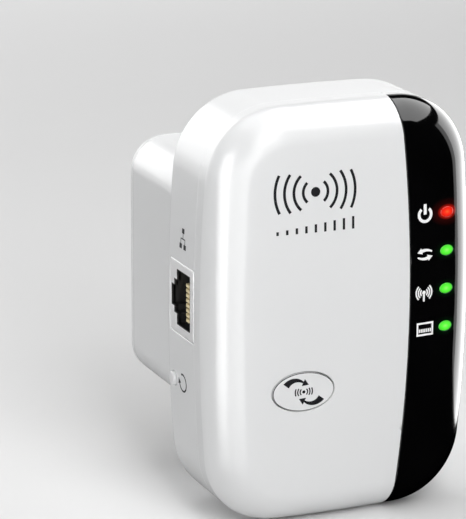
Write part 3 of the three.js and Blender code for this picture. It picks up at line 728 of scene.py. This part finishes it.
def inner_skin(x, z, skin, holes):
    """Points on the inside of a skin, drawn in at the outline and straight behind holes."""
    inset, nx, nz = outline_at(x, z)
    shift = skin * np.clip(1 - (inset - ROUND_WIDTH) / (CORNER_RADIUS - ROUND_WIDTH), 0, 1)
    for cx, cz, half_x, half_z, _ in holes:
        away = np.hypot((x - cx) / half_x, (z - cz) / half_z) - 1
        shift = shift * np.clip(away * min(half_x, half_z) / (3 * skin), 0, 1)
    inner_z = z - nz * shift
    near = np.exp(-np.abs(x - edge_x(z)) / EDGE_BLEND)
    inner_x = x - nx * shift + (edge_x(inner_z) - edge_x(z)) * near
    return np.column_stack((inner_x, front_y(x, z) + skin, inner_z))


def wall_rows(side):
    """(y, inset) rows of the side wall, from the crease back to the end of the cover or panel."""
    start = (CREASE_Y + WALL_ROW_STEP, 0)
    if side > 0:
        return [start, (PANEL_END - CHAMFER, 0), (PANEL_END, CHAMFER)]
    end = SEAM_Y - SEAM_GAP
    return [start, (PANEL_END + PANEL_GAP, 0), (SEAM_Y - 1.2, 0), (end - CHAMFER, 0), (end, CHAMFER)]


def front_shell(side, skin, holes, radius):
    """One closed skin of the front: the cover (side -1) with its rim behind the panel, or the panel."""
    x, z, drop, kind, faces = triangles(side, holes, radius)
    _, nx, nz = outline_at(x, z)
    outward = np.column_stack((nx, np.zeros_like(nx), nz))
    outer = np.column_stack((x, front_y(x, z), z)) - front_normal(x, z) * drop[:, None]
    inner = inner_skin(x, z, skin, holes)
    wall = wall_rows(side)
    end = wall[-1][0]
    if side > 0:
        inner[:, 1] = np.minimum(inner[:, 1], end)

    def column_at(outline_point, direction, inner_point):
        """Points of the wall over one point of the outline, from the crease back to the end."""
        column = [outline_point * (1, 0, 1) - direction * back + (0, y, 0) for y, back in wall]
        if side < 0:
            column.append(inner_point * (1, 0, 1) + (0, end, 0))
        return column

    count = len(x)
    all_points = [outer, inner]
    total = 2 * count
    columns = {}
    for i in np.flatnonzero(kind >= AT_OUTLINE):
        column = column_at(outer[i], outward[i], inner[i])
        all_points.append(np.array(column))
        columns[i] = [i, *range(total, total + len(column)), count + i]
        total += len(column)

    uses = {}
    for face in faces:
        for a, b in zip(face, face[1:] + face[:1]):
            uses.setdefault(frozenset((a, b)), []).append((a, b))
    all_faces = faces + [tuple(count + i for i in reversed(face)) for face in faces]
    for directions in uses.values():
        if len(directions) == 2:
            continue
        a, b = directions[0]
        if a in columns and b in columns:
            all_faces += zip(columns[a], columns[a][1:], columns[b][1:], columns[b])
        else:
            all_faces.append((a, count + a, count + b, b))
    corners = sorted((i for i in columns if kind[i] == AT_CORNER), key=lambda i: -z[i])
    if side > 0:
        all_faces.extend(tuple(columns[i]) for i in corners)
    else:
        sections = [columns[i][2:] for i in corners]
        all_faces.extend((*columns[i][:3], columns[i][-1]) for i in corners)
        for point, direction, inside in rim_points(skin):
            section = [*column_at(point, direction, inside)[1:], inside]
            all_points.append(np.array(section))
            sections.insert(-1, list(range(total, total + len(section))))
            total += len(section)
        for near, far in zip(sections, sections[1:]):
            all_faces += band(near, far)
    merged = np.vstack(all_points)
    used = sorted({i for face in all_faces for i in face})
    renumber = {old: new for new, old in enumerate(used)}
    shape = merged[used] + (0, 0, MID_Z)
    return shape, [tuple(renumber[i] for i in face) for face in all_faces]


BUTTON_STEPS = 96
BUTTON_HOLE = (*WPS_MIDDLE, WPS_HALF[0] + HOLE_GAP, WPS_HALF[1] + HOLE_GAP, BUTTON_STEPS)
WINDOW_HALF = (1.6, 1.1)
WINDOW_GAP = 0.05
WINDOW_STEPS = 44
LENS_RISE = -0.04
LENS_EDGE_RADIUS = 0.12
LENS_DOME = 0.05
WINDOW_SIZE = (WINDOW_HALF[0] + WINDOW_GAP, WINDOW_HALF[1] + WINDOW_GAP, WINDOW_STEPS)
WINDOW_MIDDLES = [middle_of(f"light_pipe_{name}") for name in LAMPS]
WINDOW_HOLES = [(x, z - MID_Z, *WINDOW_SIZE) for x, z in WINDOW_MIDDLES]
cover = front_shell(-1, FRONT_WALL, [BUTTON_HOLE], COVER_EDGE_RADIUS)
piece("front_shell", cover, "white_shell", replaces=["front_cover"])
strip = front_shell(1, PANEL_THICKNESS, WINDOW_HOLES, PANEL_EDGE_RADIUS)
piece("black_strip", strip, "black_panel", replaces=["light_panel"])


CAP_RIM_ROWS = 7
CAP_FACE_ROWS = 10
CAP_FACE_REACH = 0.97


def dished_cap(half_x, half_z, cx, cz, rise, radius, steps, dome=0.0):
    """Rings from the middle of an oval cap that follows the front surface, out to its wall."""
    rings = []
    rim = radius * (1 - np.cos(np.linspace(0, math.pi / 2, CAP_RIM_ROWS)))[::-1]
    insets = [*np.linspace(half_z * CAP_FACE_REACH, radius, CAP_FACE_ROWS)[:-1], *rim]
    for inset in insets:
        ring = ellipse(half_x * (1 - inset / half_z), half_z - inset, steps)
        if inset <= radius:
            ring = ellipse(half_x - inset, half_z - inset, steps)
        x = ring[:, 0] + cx
        z = ring[:, 1] + cz
        y = front_y(x, z) - rise + roll(inset, radius) - dome * (1 - (1 - inset / half_z) ** 2)
        rings.append(np.column_stack((x, y, z + MID_Z)))
    return rings


def wps_cap():
    """The oval push button: its cap, flange and stem in one."""
    half_x, half_z = WPS_HALF
    flange_y = FRONT_Y + WPS_FLANGE["depth"]
    flange_end = flange_y + WPS_FLANGE["thickness"]
    margin = WPS_FLANGE["margin"]
    oval = ellipse(half_x, half_z, BUTTON_STEPS)
    wide = ellipse(half_x + margin, half_z + margin, BUTTON_STEPS)
    stem = circle(WPS_STEM_RADIUS, BUTTON_STEPS)
    rings = dished_cap(half_x, half_z, *WPS_MIDDLE, WPS_RISE, BUTTON_EDGE_RADIUS, BUTTON_STEPS)
    behind = [(oval, flange_y), (wide, flange_y), (wide, flange_end), (stem, flange_end)]
    behind.append((stem, button_high.y))
    return loft(rings + stack_y(behind, (WPS_MIDDLE[0], WPS_MIDDLE[1] + MID_Z)))


piece("wps_cap", wps_cap(), "white_shell", "wps_button", ["wps_button"])


def lens(name):
    """The clear rod behind a window, with its slightly domed front."""
    x, z = middle_of(f"light_pipe_{name}")
    rings = dished_cap(
        *WINDOW_HALF, x, z - MID_Z, LENS_RISE, LENS_EDGE_RADIUS, WINDOW_STEPS, dome=LENS_DOME)
    rod_end = span(f"light_pipe_{name}")[1].y
    rings.append(along_y(ellipse(*WINDOW_HALF, WINDOW_STEPS), rod_end, (x, z)))
    return loft(rings)


for name, lamp in LAMPS.items():
    piece(f"lamp_{name}", lens(name), lamp["slot"], replaces=[f"light_pipe_{name}"],
          material=lens_material(name, lamp))


# ---- rear cover

def fillet(radius, steps=5):
    """(inset, depth) pairs round a quarter circle, from the side wall to the rear face."""
    turns = np.linspace(0, math.pi / 2, steps)
    return [(radius * (1 - math.cos(a)), radius * (math.sin(a) - 1)) for a in turns]


def rear_shell():
    """The rear moulding: side walls, rear face and plug housing as one closed skin."""
    front = SEAM_Y + SEAM_GAP
    end = plug_high.y - PLUG_RIM - PLUG_GAP
    inside = REAR_Y - REAR_WALL
    body = [(body_ring(CHAMFER), front)]
    body += [(body_ring(), y) for y in (front + CHAMFER, front + 1, REAR_Y - 6, REAR_Y - 1.15)]
    body += [(body_ring(inset), REAR_Y + back) for inset, back in fillet(REAR_EDGE_RADIUS, 8)]
    housing = [(housing_ring(back), REAR_Y + inset) for inset, back in fillet(HOUSING_ROOT_RADIUS)]
    housing += [(housing_ring(), y) for y in (REAR_Y + 1, end - 1, end - 0.25)]
    housing += [(housing_ring(inset), end + back) for inset, back in fillet(HOUSING_END_RADIUS)]
    housing += [(housing_ring(HOUSING_WALL), y) for y in (end, inside)]
    inner = [(body_ring(SIDE_WALL), y) for y in (inside, front)]
    middle = (0, MID_Z)
    return loft(stack_y(body, middle) + stack_y(housing) + stack_y(inner, middle), wrap=True)


def left_wall_x(z):
    """Where the left wall's outside is, at a height about the body's middle."""
    return SIDE_ARC_RADIUS - HALF_WIDTH - np.sqrt(SIDE_ARC_RADIUS ** 2 - z ** 2)


LIP_FLARE = 0.12
JACK_CUT_END = -17.0
JACK_CORNER = 0.35


def flared(ring_at, outer, inner):
    """A cutter that widens by LIP_FLARE over the last stretch before the outside."""
    places = ((3 * LIP_FLARE, outer - 2 * LIP_FLARE), (LIP_FLARE, outer), (0, outer + LIP_FLARE), (0, inner))
    return loft([ring_at(grow, x) for grow, x in places])


def jack_cutter():
    """The opening for the network socket, which runs out through the seam."""
    front = SEAM_Y - 4
    rear = jack_high.y + JACK_GAP
    middle = ((front + rear) / 2, (jack_low.z + jack_high.z) / 2)
    half_y = (rear - front) / 2
    half_z = (jack_high.z - jack_low.z) / 2 + JACK_GAP

    def ring_at(grow, x):
        return along_x(rounded_ring(half_y + grow, half_z + grow, JACK_CORNER + grow), x, middle)

    return flared(ring_at, left_wall_x(middle[1] - MID_Z), JACK_CUT_END)


def reset_cutter():
    """The round hole for the reset button."""
    wall = left_wall_x(RESET["z"] - MID_Z)

    def ring_at(grow, x):
        return along_x(circle(RESET["radius"] + RESET_GAP + grow, 48), x, (RESET["y"], RESET["z"]))

    return flared(ring_at, wall, wall + 4)


def vent_cutter(number):
    """One of the slots in the underside, flared at the outside."""
    half_x = VENT["width"] / 2
    half_y = (VENT["rear"] - VENT["front"]) / 2
    middle_x = (number - (VENT["count"] - 1) / 2) * VENT["pitch"]
    middle_y = (VENT["front"] + VENT["rear"]) / 2
    ring = rounded_ring(half_x, half_y, half_x - 0.01, (3, 8, 3))
    rings = []
    # How much wider each section is, and its height above the underside.
    for grow, height in ((0.36, -0.3), (0, 0.12), (0, 4)):
        x = ring[:, 0] * (1 + grow / half_x) + middle_x
        y = ring[:, 1] * (1 + grow / 3.2) + middle_y
        rings.append(np.column_stack((x, y, np.full(len(ring), height - HALF_HEIGHT + MID_Z))))
    return loft(rings)


rear_cutters = [jack_cutter(), reset_cutter(), *(vent_cutter(i) for i in range(VENT["count"]))]
rear = cut(mesh_of("rear_shell", rear_shell()), rear_cutters)
piece("rear_shell", rear, "white_shell", replaces=["rear_cover"])


# ---- reset button

def reset_cap():
    """The small round button on the left side, with its flange and stem."""
    flange = left_wall_x(RESET["z"] - MID_Z) + SIDE_WALL + CAD_GAP
    flange_end = flange + 0.8
    flange_radius = 2.4
    stem_radius = 1.0
    radius = RESET["radius"]
    # A slightly dished face with a rounded edge, then the wall, the flange and the stem.
    sections = [(radius - inset, reset_low.x + 0.02 * (1.5 - inset)) for inset in (1.3, 0.9, 0.6)]
    sections += [(radius - inset, reset_low.x + 0.03 - back) for inset, back in fillet(0.3)[::-1]]
    sections += [(radius, flange), (flange_radius, flange), (flange_radius, flange_end)]
    sections += [(stem_radius, flange_end), (stem_radius, reset_high.x)]
    points, faces = loft([along_x(circle(size), x, (RESET["y"], RESET["z"])) for size, x in sections])
    points[:, 1] = np.minimum(points[:, 1], REAR_Y - REAR_WALL - CAD_GAP)
    return points, faces


piece("reset_cap", reset_cap(), "white_shell", "reset_button", ["reset_button"])


# ---- network socket

BLOCK_STEPS = (2, 6, 2)


def block_x(half_y, half_z, x0, x1, middle, radius, edge):
    """A rounded block along X with rounded ends."""
    rings = []
    ends = [(inset, x0 - back) for inset, back in fillet(edge, 4)[::-1]]
    ends += [(inset, x1 + back) for inset, back in fillet(edge, 4)]
    for inset, x in ends:
        rings.append(along_x(rounded_ring(half_y - inset, half_z - inset, radius, BLOCK_STEPS), x, middle))
    return loft(rings)


MOUTH = {"front": -43.9, "back": -36.9, "half": 6.0, "depth": 12.6}
MOUTH_STEPS = ((-35.4, 3.6), (-33.9, 2.2))
LIP = 0.24


def mouth_profile(grow):
    """The stepped mouth as a polygon in y and z, about the socket's middle height."""
    levels = [(MOUTH["back"], MOUTH["half"]), *MOUTH_STEPS]
    points = [(MOUTH["front"] - grow, -MOUTH["half"] - grow)]
    for back, half in levels:
        points += [(points[-1][0], -half - grow), (back + grow, -half - grow)]
    upper = [(y, -z) for y, z in reversed(points)]
    clean = []
    for point in points + upper:
        if not clean or math.dist(clean[-1], point) > 1e-6:
            clean.append(point)
    return np.array(clean)


def mouth_cutter(x0, x1, lip, z, grow):
    rings = [along_x(mouth_profile(grow + 2 * lip), x0 - lip, (0, z))]
    rings.append(along_x(mouth_profile(grow), x0 + lip, (0, z)))
    rings.append(along_x(mouth_profile(grow), x1, (0, z)))
    return loft(rings)


def socket():
    """The socket's metal shell, the black body inside it and the body's lip round the mouth."""
    face = jack_low.x
    back = jack_high.x
    plate = 0.4
    middle = ((jack_low.y + jack_high.y) / 2, (jack_low.z + jack_high.z) / 2)
    half_y = (jack_high.y - jack_low.y) / 2
    half_z = (jack_high.z - jack_low.z) / 2
    shield = mesh_of("socket_shield", block_x(half_y, half_z, face, back, middle, JACK_CORNER, 0.15))
    hollow = block_x(half_y - plate, half_z - plate, face + plate, back + 2, middle, 0.15, 0.05)
    shield = cut(shield, [hollow, mouth_cutter(face, face + 2, 0.02, middle[1], LIP)])
    piece("socket_shield", shield, "jack_metal", replaces=["lan_jack_shield"])
    clear = plate + 0.06
    insert = block_x(half_y - clear, half_z - clear, face + clear, back, middle, 0.1, 0.05)
    hole = mouth_cutter(face - 1, face + MOUTH["depth"], 0.05, middle[1], 0.05)
    insert = cut(mesh_of("socket_insert", insert), [hole])
    piece("socket_insert", insert, "black_plastic", replaces=["lan_jack_housing"])
    rim_front = face + 0.04
    rim_end = face + 0.9
    rim = [(LIP - 0.03, rim_front), (0.05, rim_front), (0.05, rim_end), (LIP - 0.03, rim_end)]
    lip = loft([along_x(mouth_profile(grow), x, (0, middle[1])) for grow, x in rim], wrap=True)
    piece("socket_lip", lip, "black_plastic")


def offset_path(path, distance):
    """An open 2-D path moved sideways, by one distance or by one for each point."""
    path = np.asarray(path, float)
    steps = np.diff(path, axis=0)
    steps /= np.linalg.norm(steps, axis=1, keepdims=True)
    sides = np.column_stack((-steps[:, 1], steps[:, 0]))
    before = np.vstack((sides[:1], sides))
    after = np.vstack((sides, sides[-1:]))
    mitre = before + after
    mitre /= np.maximum(np.sum(mitre * before, axis=1, keepdims=True), 0.2)
    return path + mitre * np.reshape(distance, (-1, 1))


def stroke(path, width, end_width=None):
    """A closed polygon that gives a path a width, which may change evenly along it."""
    half = np.linspace(width, width if end_width is None else end_width, len(path)) / 2
    return np.vstack((offset_path(path, half), offset_path(path, -half)[::-1]))


BEND_STEPS = 6


def rounded_path(points, radius):
    """An open path whose corners are turned with a radius."""
    points = np.asarray(points, float)
    path = [points[0]]
    for before, corner, after in zip(points, points[1:], points[2:]):
        to_before = (before - corner) / np.linalg.norm(before - corner)
        to_after = (after - corner) / np.linalg.norm(after - corner)
        start = corner + to_before * radius
        end = corner + to_after * radius
        for t in np.linspace(0, 1, BEND_STEPS):
            path.append(start * (1 - t) ** 2 + corner * 2 * t * (1 - t) + end * t ** 2)
    path.append(points[-1])
    return np.array(path)


def contact(number):
    """One spring contact: a wire along the mouth's floor that folds over and back at the front."""
    low, high = span(f"lan_contact_{number}")
    thickness = 0.35
    fold_back = 8.5
    droop = 0.4
    bend_radius = 0.35
    middle_z = (low.z + high.z) / 2
    half = (high.z - low.z) / 2
    y0 = low.y + thickness / 2
    y1 = high.y - thickness / 2
    x0 = low.x + thickness / 2
    path = rounded_path([(high.x, y0), (x0, y0), (x0, y1), (low.x + fold_back, y1 - droop)], bend_radius)
    polygon = stroke(path, thickness)
    ends = [np.full(len(polygon), middle_z + depth) for depth in (-half, half)]
    return loft([np.column_stack((polygon, end)) for end in ends])


socket()
for number in range(1, 9):
    piece(f"socket_contact_{number}", contact(number), "contact_gold", replaces=[f"lan_contact_{number}"])


# ---- plug

PIN_STEPS = (3, 5, 3)
PIN_GAP = 0.08
BLADE_HALF = (3.175, 2.0)
EARTH_HALF = (2.0, 4.0)
NECK_INSET = 1
SLEEVE_WALL = 0.9
PIN_HOLES = (("line_pin_sleeve", BLADE_HALF), ("neutral_pin_sleeve", BLADE_HALF), ("earth_pin", EARTH_HALF))


def block_y(sections, middle):
    """A block along Y through (half_x, half_z, radius, y) sections."""
    return loft(stack_y([(rounded_ring(a, b, r, PIN_STEPS), y) for a, b, r, y in sections], middle))


def plug_face():
    """The face of the plug, with a rounded rim and a flared hole for each pin."""
    outer_y = plug_high.y
    inner_y = outer_y - PLUG_RIM
    skirt = HOUSING_WALL + 0.25
    base = [(skirt, plug_low.y + 3.2), (skirt, inner_y), (0.1, inner_y), (0, inner_y + 0.1)]
    base += [(inset, outer_y + back) for inset, back in fillet(0.3, 6)]
    rings = stack_y([(housing_ring(inset), y) for inset, y in base])
    holes = []
    for name, (half_x, half_z) in PIN_HOLES:
        sections = [
            (half_x + PIN_GAP + flare, half_z + PIN_GAP + flare, radius, outer_y + back)
            for flare, radius, back in ((0, 0.3, -20), (0, 0.3, -0.2), (0.25, 0.4, 0.05), (0.25, 0.4, 1))
        ]
        holes.append(block_y(sections, middle_of(name)))
    return cut(mesh_of("plug_face", loft(rings)), holes)


def blade_sections(half_x, half_z, y0, y1):
    """Sections of a pin whose end tapers."""
    profile = (
        (0.1, 0.25, y0), (0, 0.3, y0 + 0.1), (0, 0.3, y1 - 1.6),
        (0.15, 0.35, y1 - 1.1), (0.7, 0.4, y1 - 0.15), (0.95, 0.3, y1),
    )
    return [(half_x - inset, half_z - inset, radius, y) for inset, radius, y in profile]


def blade(low_y, sleeve_end, high_y, middle):
    """A metal pin: its narrow neck inside the sleeve, and its bare end."""
    half_x, half_z = BLADE_HALF
    neck = [(half_x - NECK_INSET, half_z - NECK_INSET, 0.2, y) for y in (low_y, sleeve_end + 0.05)]
    return block_y(neck + blade_sections(half_x, half_z, sleeve_end + 0.06, high_y), middle)


def sleeve(low_y, high_y, middle):
    """The insulating tube round a pin's neck."""
    outside = ((0, low_y), (0, high_y - 0.15), (0.12, high_y))
    profile = [(inset, 0.3, y) for inset, y in outside] + [(SLEEVE_WALL, 0.2, y) for y in (high_y, low_y)]
    half_x, half_z = BLADE_HALF
    sections = [(rounded_ring(half_x - inset, half_z - inset, r, PIN_STEPS), y) for inset, r, y in profile]
    return loft(stack_y(sections, middle), wrap=True)


piece("plug_face", plug_face(), "plug_nylon", replaces=["plug_base"])
earth_low, earth_high = span("earth_pin")
earth_pin = block_y(blade_sections(*EARTH_HALF, earth_low.y, earth_high.y), middle_of("earth_pin"))
piece("plug_earth_pin", earth_pin, "plug_nylon", replaces=["earth_pin"])
for side in ("line", "neutral"):
    pin = f"{side}_pin"
    low, high = span(pin)
    sleeve_low, sleeve_high = span(f"{pin}_sleeve")
    metal = blade(low.y, sleeve_high.y, high.y, middle_of(pin))
    piece(f"plug_{side}_blade", metal, "pin_brass", replaces=[pin])
    tube = sleeve(sleeve_low.y, sleeve_high.y, middle_of(pin))
    piece(f"plug_{side}_sleeve", tube, "pin_sleeve", replaces=[f"{pin}_sleeve"])


# ---- printed marks, and painted shade round the button

PRINT_RISE = 0.012
PRINT_DEPTH = 0.03


def ink(name, slot, colour, roughness, shade, specular):
    """An ink's material, paired with a slot name."""
    return moulded(name, colour, roughness, shade=shade, grain=3000, specular=specular), slot


# The dark ink also paints the shade line round the button's rim.
DARK_INK_AND_SHADE = ink("print_dark_and_painted_shade", "black_plastic", (0.012, 0.012, 0.014), 0.4, 0.1, 0.1)
GREY_INK = ink("print_grey", "black_plastic", (0.04, 0.04, 0.042), 0.5, 0.08, 0.1)
WHITE_INK = ink("print_white", "white_shell", (0.97, 0.97, 0.97), 0.4, 0.01, 0.5)


def on_front(points, lift):
    y = front_y(points[:, 0], points[:, 1]) - lift
    return np.column_stack((points[:, 0], y, points[:, 1] + MID_Z))


def on_button(points, lift):
    return on_front(points, lift + WPS_RISE)


def on_left(points, lift):
    """Points as (y, z about the body's middle) on the left wall."""
    x = left_wall_x(points[:, 1]) - lift
    return np.column_stack((x, points[:, 0], points[:, 1] + MID_Z))


def printed(name, polygons, place, ink_and_slot, body="root"):
    """Ink: each polygon as a thin closed plate on a surface."""
    material, slot = ink_and_slot
    shapes = [loft([place(np.asarray(p), PRINT_RISE), place(np.asarray(p), -PRINT_DEPTH)]) for p in polygons]
    piece(name, merge(shapes), slot, body, material=material)


def arc_path(cx, cz, radius, start, end, steps=24):
    angles = np.radians(np.linspace(start, end, steps))
    return np.column_stack((cx + radius * np.cos(angles), cz + radius * np.sin(angles)))


def bar(cx, cz, width, height):
    a = width / 2
    b = height / 2
    return np.array([(cx - a, cz - b), (cx + a, cz - b), (cx + a, cz + b), (cx - a, cz + b)])


def frame_strokes(cx, cz, width, height, line):
    """The four sides of a rectangle's outline, the upright ones just short of the others."""
    a = width / 2
    b = height / 2
    upright = height - line - 0.02
    return [
        bar(cx, cz + b, width + line, line), bar(cx, cz - b, width + line, line),
        bar(cx - a, cz, line, upright), bar(cx + a, cz, line, upright),
    ]


def arrow(path, width, end_width, head, turn=0):
    """A curved tapered stroke that ends in a triangular head, turned a little by turn degrees."""
    tip_from = path[-1]
    step = path[-1] - path[-2]
    angle = math.atan2(step[1], step[0]) + math.radians(turn)
    direction = np.array([math.cos(angle), math.sin(angle)])
    across = np.array([-direction[1], direction[0]])
    triangle = np.array([
        tip_from + across * head * 0.6, tip_from + direction * head, tip_from - across * head * 0.6,
    ])
    return [stroke(path, width, end_width), triangle]


def turned(polygons, cx, cz):
    """The same polygons turned half round about a point."""
    return [np.array([(2 * cx - x, 2 * cz - z) for x, z in polygon]) for polygon in polygons]


def broadcast(cx, cz, dot, radii, width, reach):
    """A dot with arcs that spread to both sides and rise and fall by reach at most."""
    shapes = [ellipse(dot, dot, 28) + (cx, cz)]
    for radius in radii:
        half_angle = min(math.degrees(math.asin(min(reach / radius, 1))), 48)
        for facing in (0, 180):
            shapes.append(stroke(arc_path(cx, cz, radius, facing - half_angle, facing + half_angle), width))
    return shapes


MARK = {"x": -8.4, "z": 28.6, "reach": 4.1, "bars": 9, "pitch": 2.15, "foot": 19.9}
mark = broadcast(MARK["x"], MARK["z"], 1.05, (2.8, 4.9, 7.0, 9.1), 0.62, MARK["reach"])
for i in range(MARK["bars"]):
    height = 0.8 + 0.24 * i
    place = MARK["x"] + (i - (MARK["bars"] - 1) / 2) * MARK["pitch"]
    mark.append(bar(place, MARK["foot"] + height / 2, 0.55, height))
printed("print_broadcast", mark, on_front, DARK_INK_AND_SHADE)

POWER = (17.6, 21.0)
power = [stroke(arc_path(*POWER, 1.5, 128, 412, 40), 0.66)]
power.append(bar(POWER[0], POWER[1] + 1.15, 0.72, 2.3))
printed("print_power", power, on_front, WHITE_INK)

SYNC = (17.65, 12.2)
half_turn = arrow(arc_path(SYNC[0] + 0.2, SYNC[1] - 2.15, 3.1, 60, 108, 16), 0.35, 0.75, 1.2)
printed("print_sync", half_turn + turned(half_turn, *SYNC), on_front, WHITE_INK)

SIGNAL = (17.55, 3.75)
signal = broadcast(*SIGNAL, 0.42, (0.85, 1.4, 1.95), 0.34, 1.6)
signal.append(stroke([(SIGNAL[0], SIGNAL[1] - 0.2), (SIGNAL[0], SIGNAL[1] - 2.0)], 0.46))
printed("print_signal", signal, on_front, WHITE_INK)

DEVICE = (18.0, -4.5)
device = frame_strokes(*DEVICE, 3.75, 2.6, 0.42)
device += [bar(DEVICE[0] + (i - 3) * 0.46, DEVICE[1] - 0.35, 0.32, 0.8) for i in range(7)]
printed("print_device", device, on_front, WHITE_INK)

TURN_ARROW = (WPS_MIDDLE[0] - 1.9, WPS_MIDDLE[1] + 0.05)
half_turn = arrow(arc_path(*TURN_ARROW, 2.7, 144, 50, 24), 1.6, 0.4, 1.4, 12)
button_mark = half_turn + turned(half_turn, *WPS_MIDDLE)
button_mark += broadcast(*WPS_MIDDLE, 0.36, (0.85, 1.4, 1.95), 0.28, 0.8)
printed("print_button_arrows", button_mark, on_button, DARK_INK_AND_SHADE, "wps_button")


def painted_gap_shade_ring():
    """A dark line round the rim of the oval button: painted shade that stands for the shadow in its gap."""
    insets = (0.02, 0.05, 0.09, 0.15)
    edges = [(inset, PRINT_RISE) for inset in insets]
    edges += [(inset, -PRINT_DEPTH) for inset in reversed(insets)]
    rings = []
    for inset, lift in edges:
        ring = ellipse(WPS_HALF[0] - inset, WPS_HALF[1] - inset, BUTTON_STEPS) + WPS_MIDDLE
        rings.append(on_button(ring, lift - roll(inset, BUTTON_EDGE_RADIUS)))
    return loft(rings, wrap=True)


# Painted shade: a dark line round the button's rim, in place of the shadow in the gap.
piece("painted_shade_button_ring", painted_gap_shade_ring(), "black_plastic", "wps_button", material=DARK_INK_AND_SHADE[0])

NETWORK = (-39.7, 16.2)
NETWORK_BARS = (
    (0, 1.9, 1.3, 1.1), (-1.1, -1.5, 1.3, 1.1), (1.1, -1.5, 1.3, 1.1),
    (0, 0.75, 0.25, 1.2), (0, 0.15, 2.45, 0.25), (-1.1, -0.45, 0.25, 1.0), (1.1, -0.45, 0.25, 1.0),
)
network = [bar(NETWORK[0] + y, NETWORK[1] + z, width, height) for y, z, width, height in NETWORK_BARS]
printed("print_network", network, on_left, GREY_INK)

RESTART = (-39.6, -15.9)
restart = arrow(arc_path(*RESTART, 1.9, 65, 345, 36), 0.42, 0.42, 1.3)
printed("print_restart", restart, on_left, GREY_INK)


# ---- studio

BODY_MIDDLE = Vector((0, (FRONT_Y + REAR_Y) / 2, MID_Z))
WORLD_STRENGTH = 0.118
FLOOR_REACH = 4000
FLOOR_TONE = 0.79

# Each light's name, its place about the body's middle, its size, and its power in watts.
LIGHTS = (
    ("key", (-40, -540, 400), (300, 300), 1.3),
    ("key_high", (0, -330, 520), (300, 300), 1.1),
    ("front", (0, -640, 240), (300, 300), 0.6),
    ("side", (-450, 350, 120), (300, 300), 0.85),
    ("overhead", (-60, 40, 620), (420, 420), 1.5),
    ("back", (0, 620, 165), (1240, 530), 2.2),
)
# Lights that only show in reflections.
GLOSS_LIGHTS = (
    ("top_right", (410, -72, 666), (900, 666), 13.5),
    ("right", (590, 192, 20), (688, 580), 5.2),
    ("right_soft", (606, 134, 20), (854, 580), 3.9),
    ("left_edge", (-542, -294, 35), (250, 690), 4.6),
    ("left", (-290, -545, -60), (770, 560), 5.5),
    ("left_back", (-180, 580, 190), (270, 370), 0.8),
)


def area_light(name, place, size, power, gloss_only):
    """A soft rectangular light, turned to the body's middle."""
    data = bpy.data.lights.new(name, "AREA")
    data.shape = "RECTANGLE"
    data.size = size[0] * MM
    data.size_y = size[1] * MM
    data.energy = power
    light = add_object(name, data)
    light.location = (Vector(place) + BODY_MIDDLE) * MM
    light.rotation_euler = (-Vector(place)).to_track_quat("-Z", "Y").to_euler()
    light.visible_camera = False
    light.visible_diffuse = not gloss_only


def studio():
    """The lights, the floor and the faint light from all round."""
    for light in LIGHTS:
        area_light(*light, gloss_only=False)
    for light in GLOSS_LIGHTS:
        area_light(*light, gloss_only=True)

    floor_mesh = bpy.data.meshes.new("floor")
    signs = ((-1, -1), (1, -1), (1, 1), (-1, 1))
    corners = [(FLOOR_REACH * a * MM, FLOOR_REACH * b * MM, rear_low.z * MM) for a, b in signs]
    floor_mesh.from_pydata(corners, [], [(0, 1, 2, 3)])
    tone = (FLOOR_TONE, FLOOR_TONE, FLOOR_TONE)
    paper = moulded("floor_paper", tone, 0.8, shade=0.004, patch=8, bump=0.0, specular=0.1)
    floor_mesh.materials.append(paper)
    floor = add_object("floor", floor_mesh)
    floor.visible_glossy = False

    world = bpy.data.worlds.new("studio")
    world.use_nodes = True
    background = world.node_tree.nodes["Background"]
    background.inputs["Color"].default_value = (1, 1, 1, 1)
    background.inputs["Strength"].default_value = WORLD_STRENGTH
    bpy.context.scene.world = world
    world.cycles_visibility.glossy = False
    bpy.context.scene.view_settings.view_transform = "Standard"


CAMERA_AIM = Vector((-21.07, FRONT_Y + 15, MID_Z + 11.61))
CAMERA_DISTANCE = 595.8
CAMERA_LENS = 193.44
AZIMUTH = math.radians(-23.42)
ELEVATION = math.radians(15.71)
ROLL = math.radians(0.22)


def camera():
    """The camera, placed at a distance from its aim by azimuth and elevation."""
    data = bpy.data.cameras.new("camera")
    data.sensor_width = 36
    data.lens = CAMERA_LENS
    data.clip_start = 0.01
    data.clip_end = 20
    cam = add_object("camera", data)
    back = Vector((
        math.sin(AZIMUTH) * math.cos(ELEVATION),
        -math.cos(AZIMUTH) * math.cos(ELEVATION),
        math.sin(ELEVATION),
    ))
    cam.location = (CAMERA_AIM + back * CAMERA_DISTANCE) * MM
    cam.rotation_mode = "QUATERNION"
    roll = Matrix.Rotation(ROLL, 3, "Z").to_quaternion()
    cam.rotation_quaternion = (-back).to_track_quat("-Z", "Y") @ roll
    bpy.context.scene.camera = cam


studio()
camera()
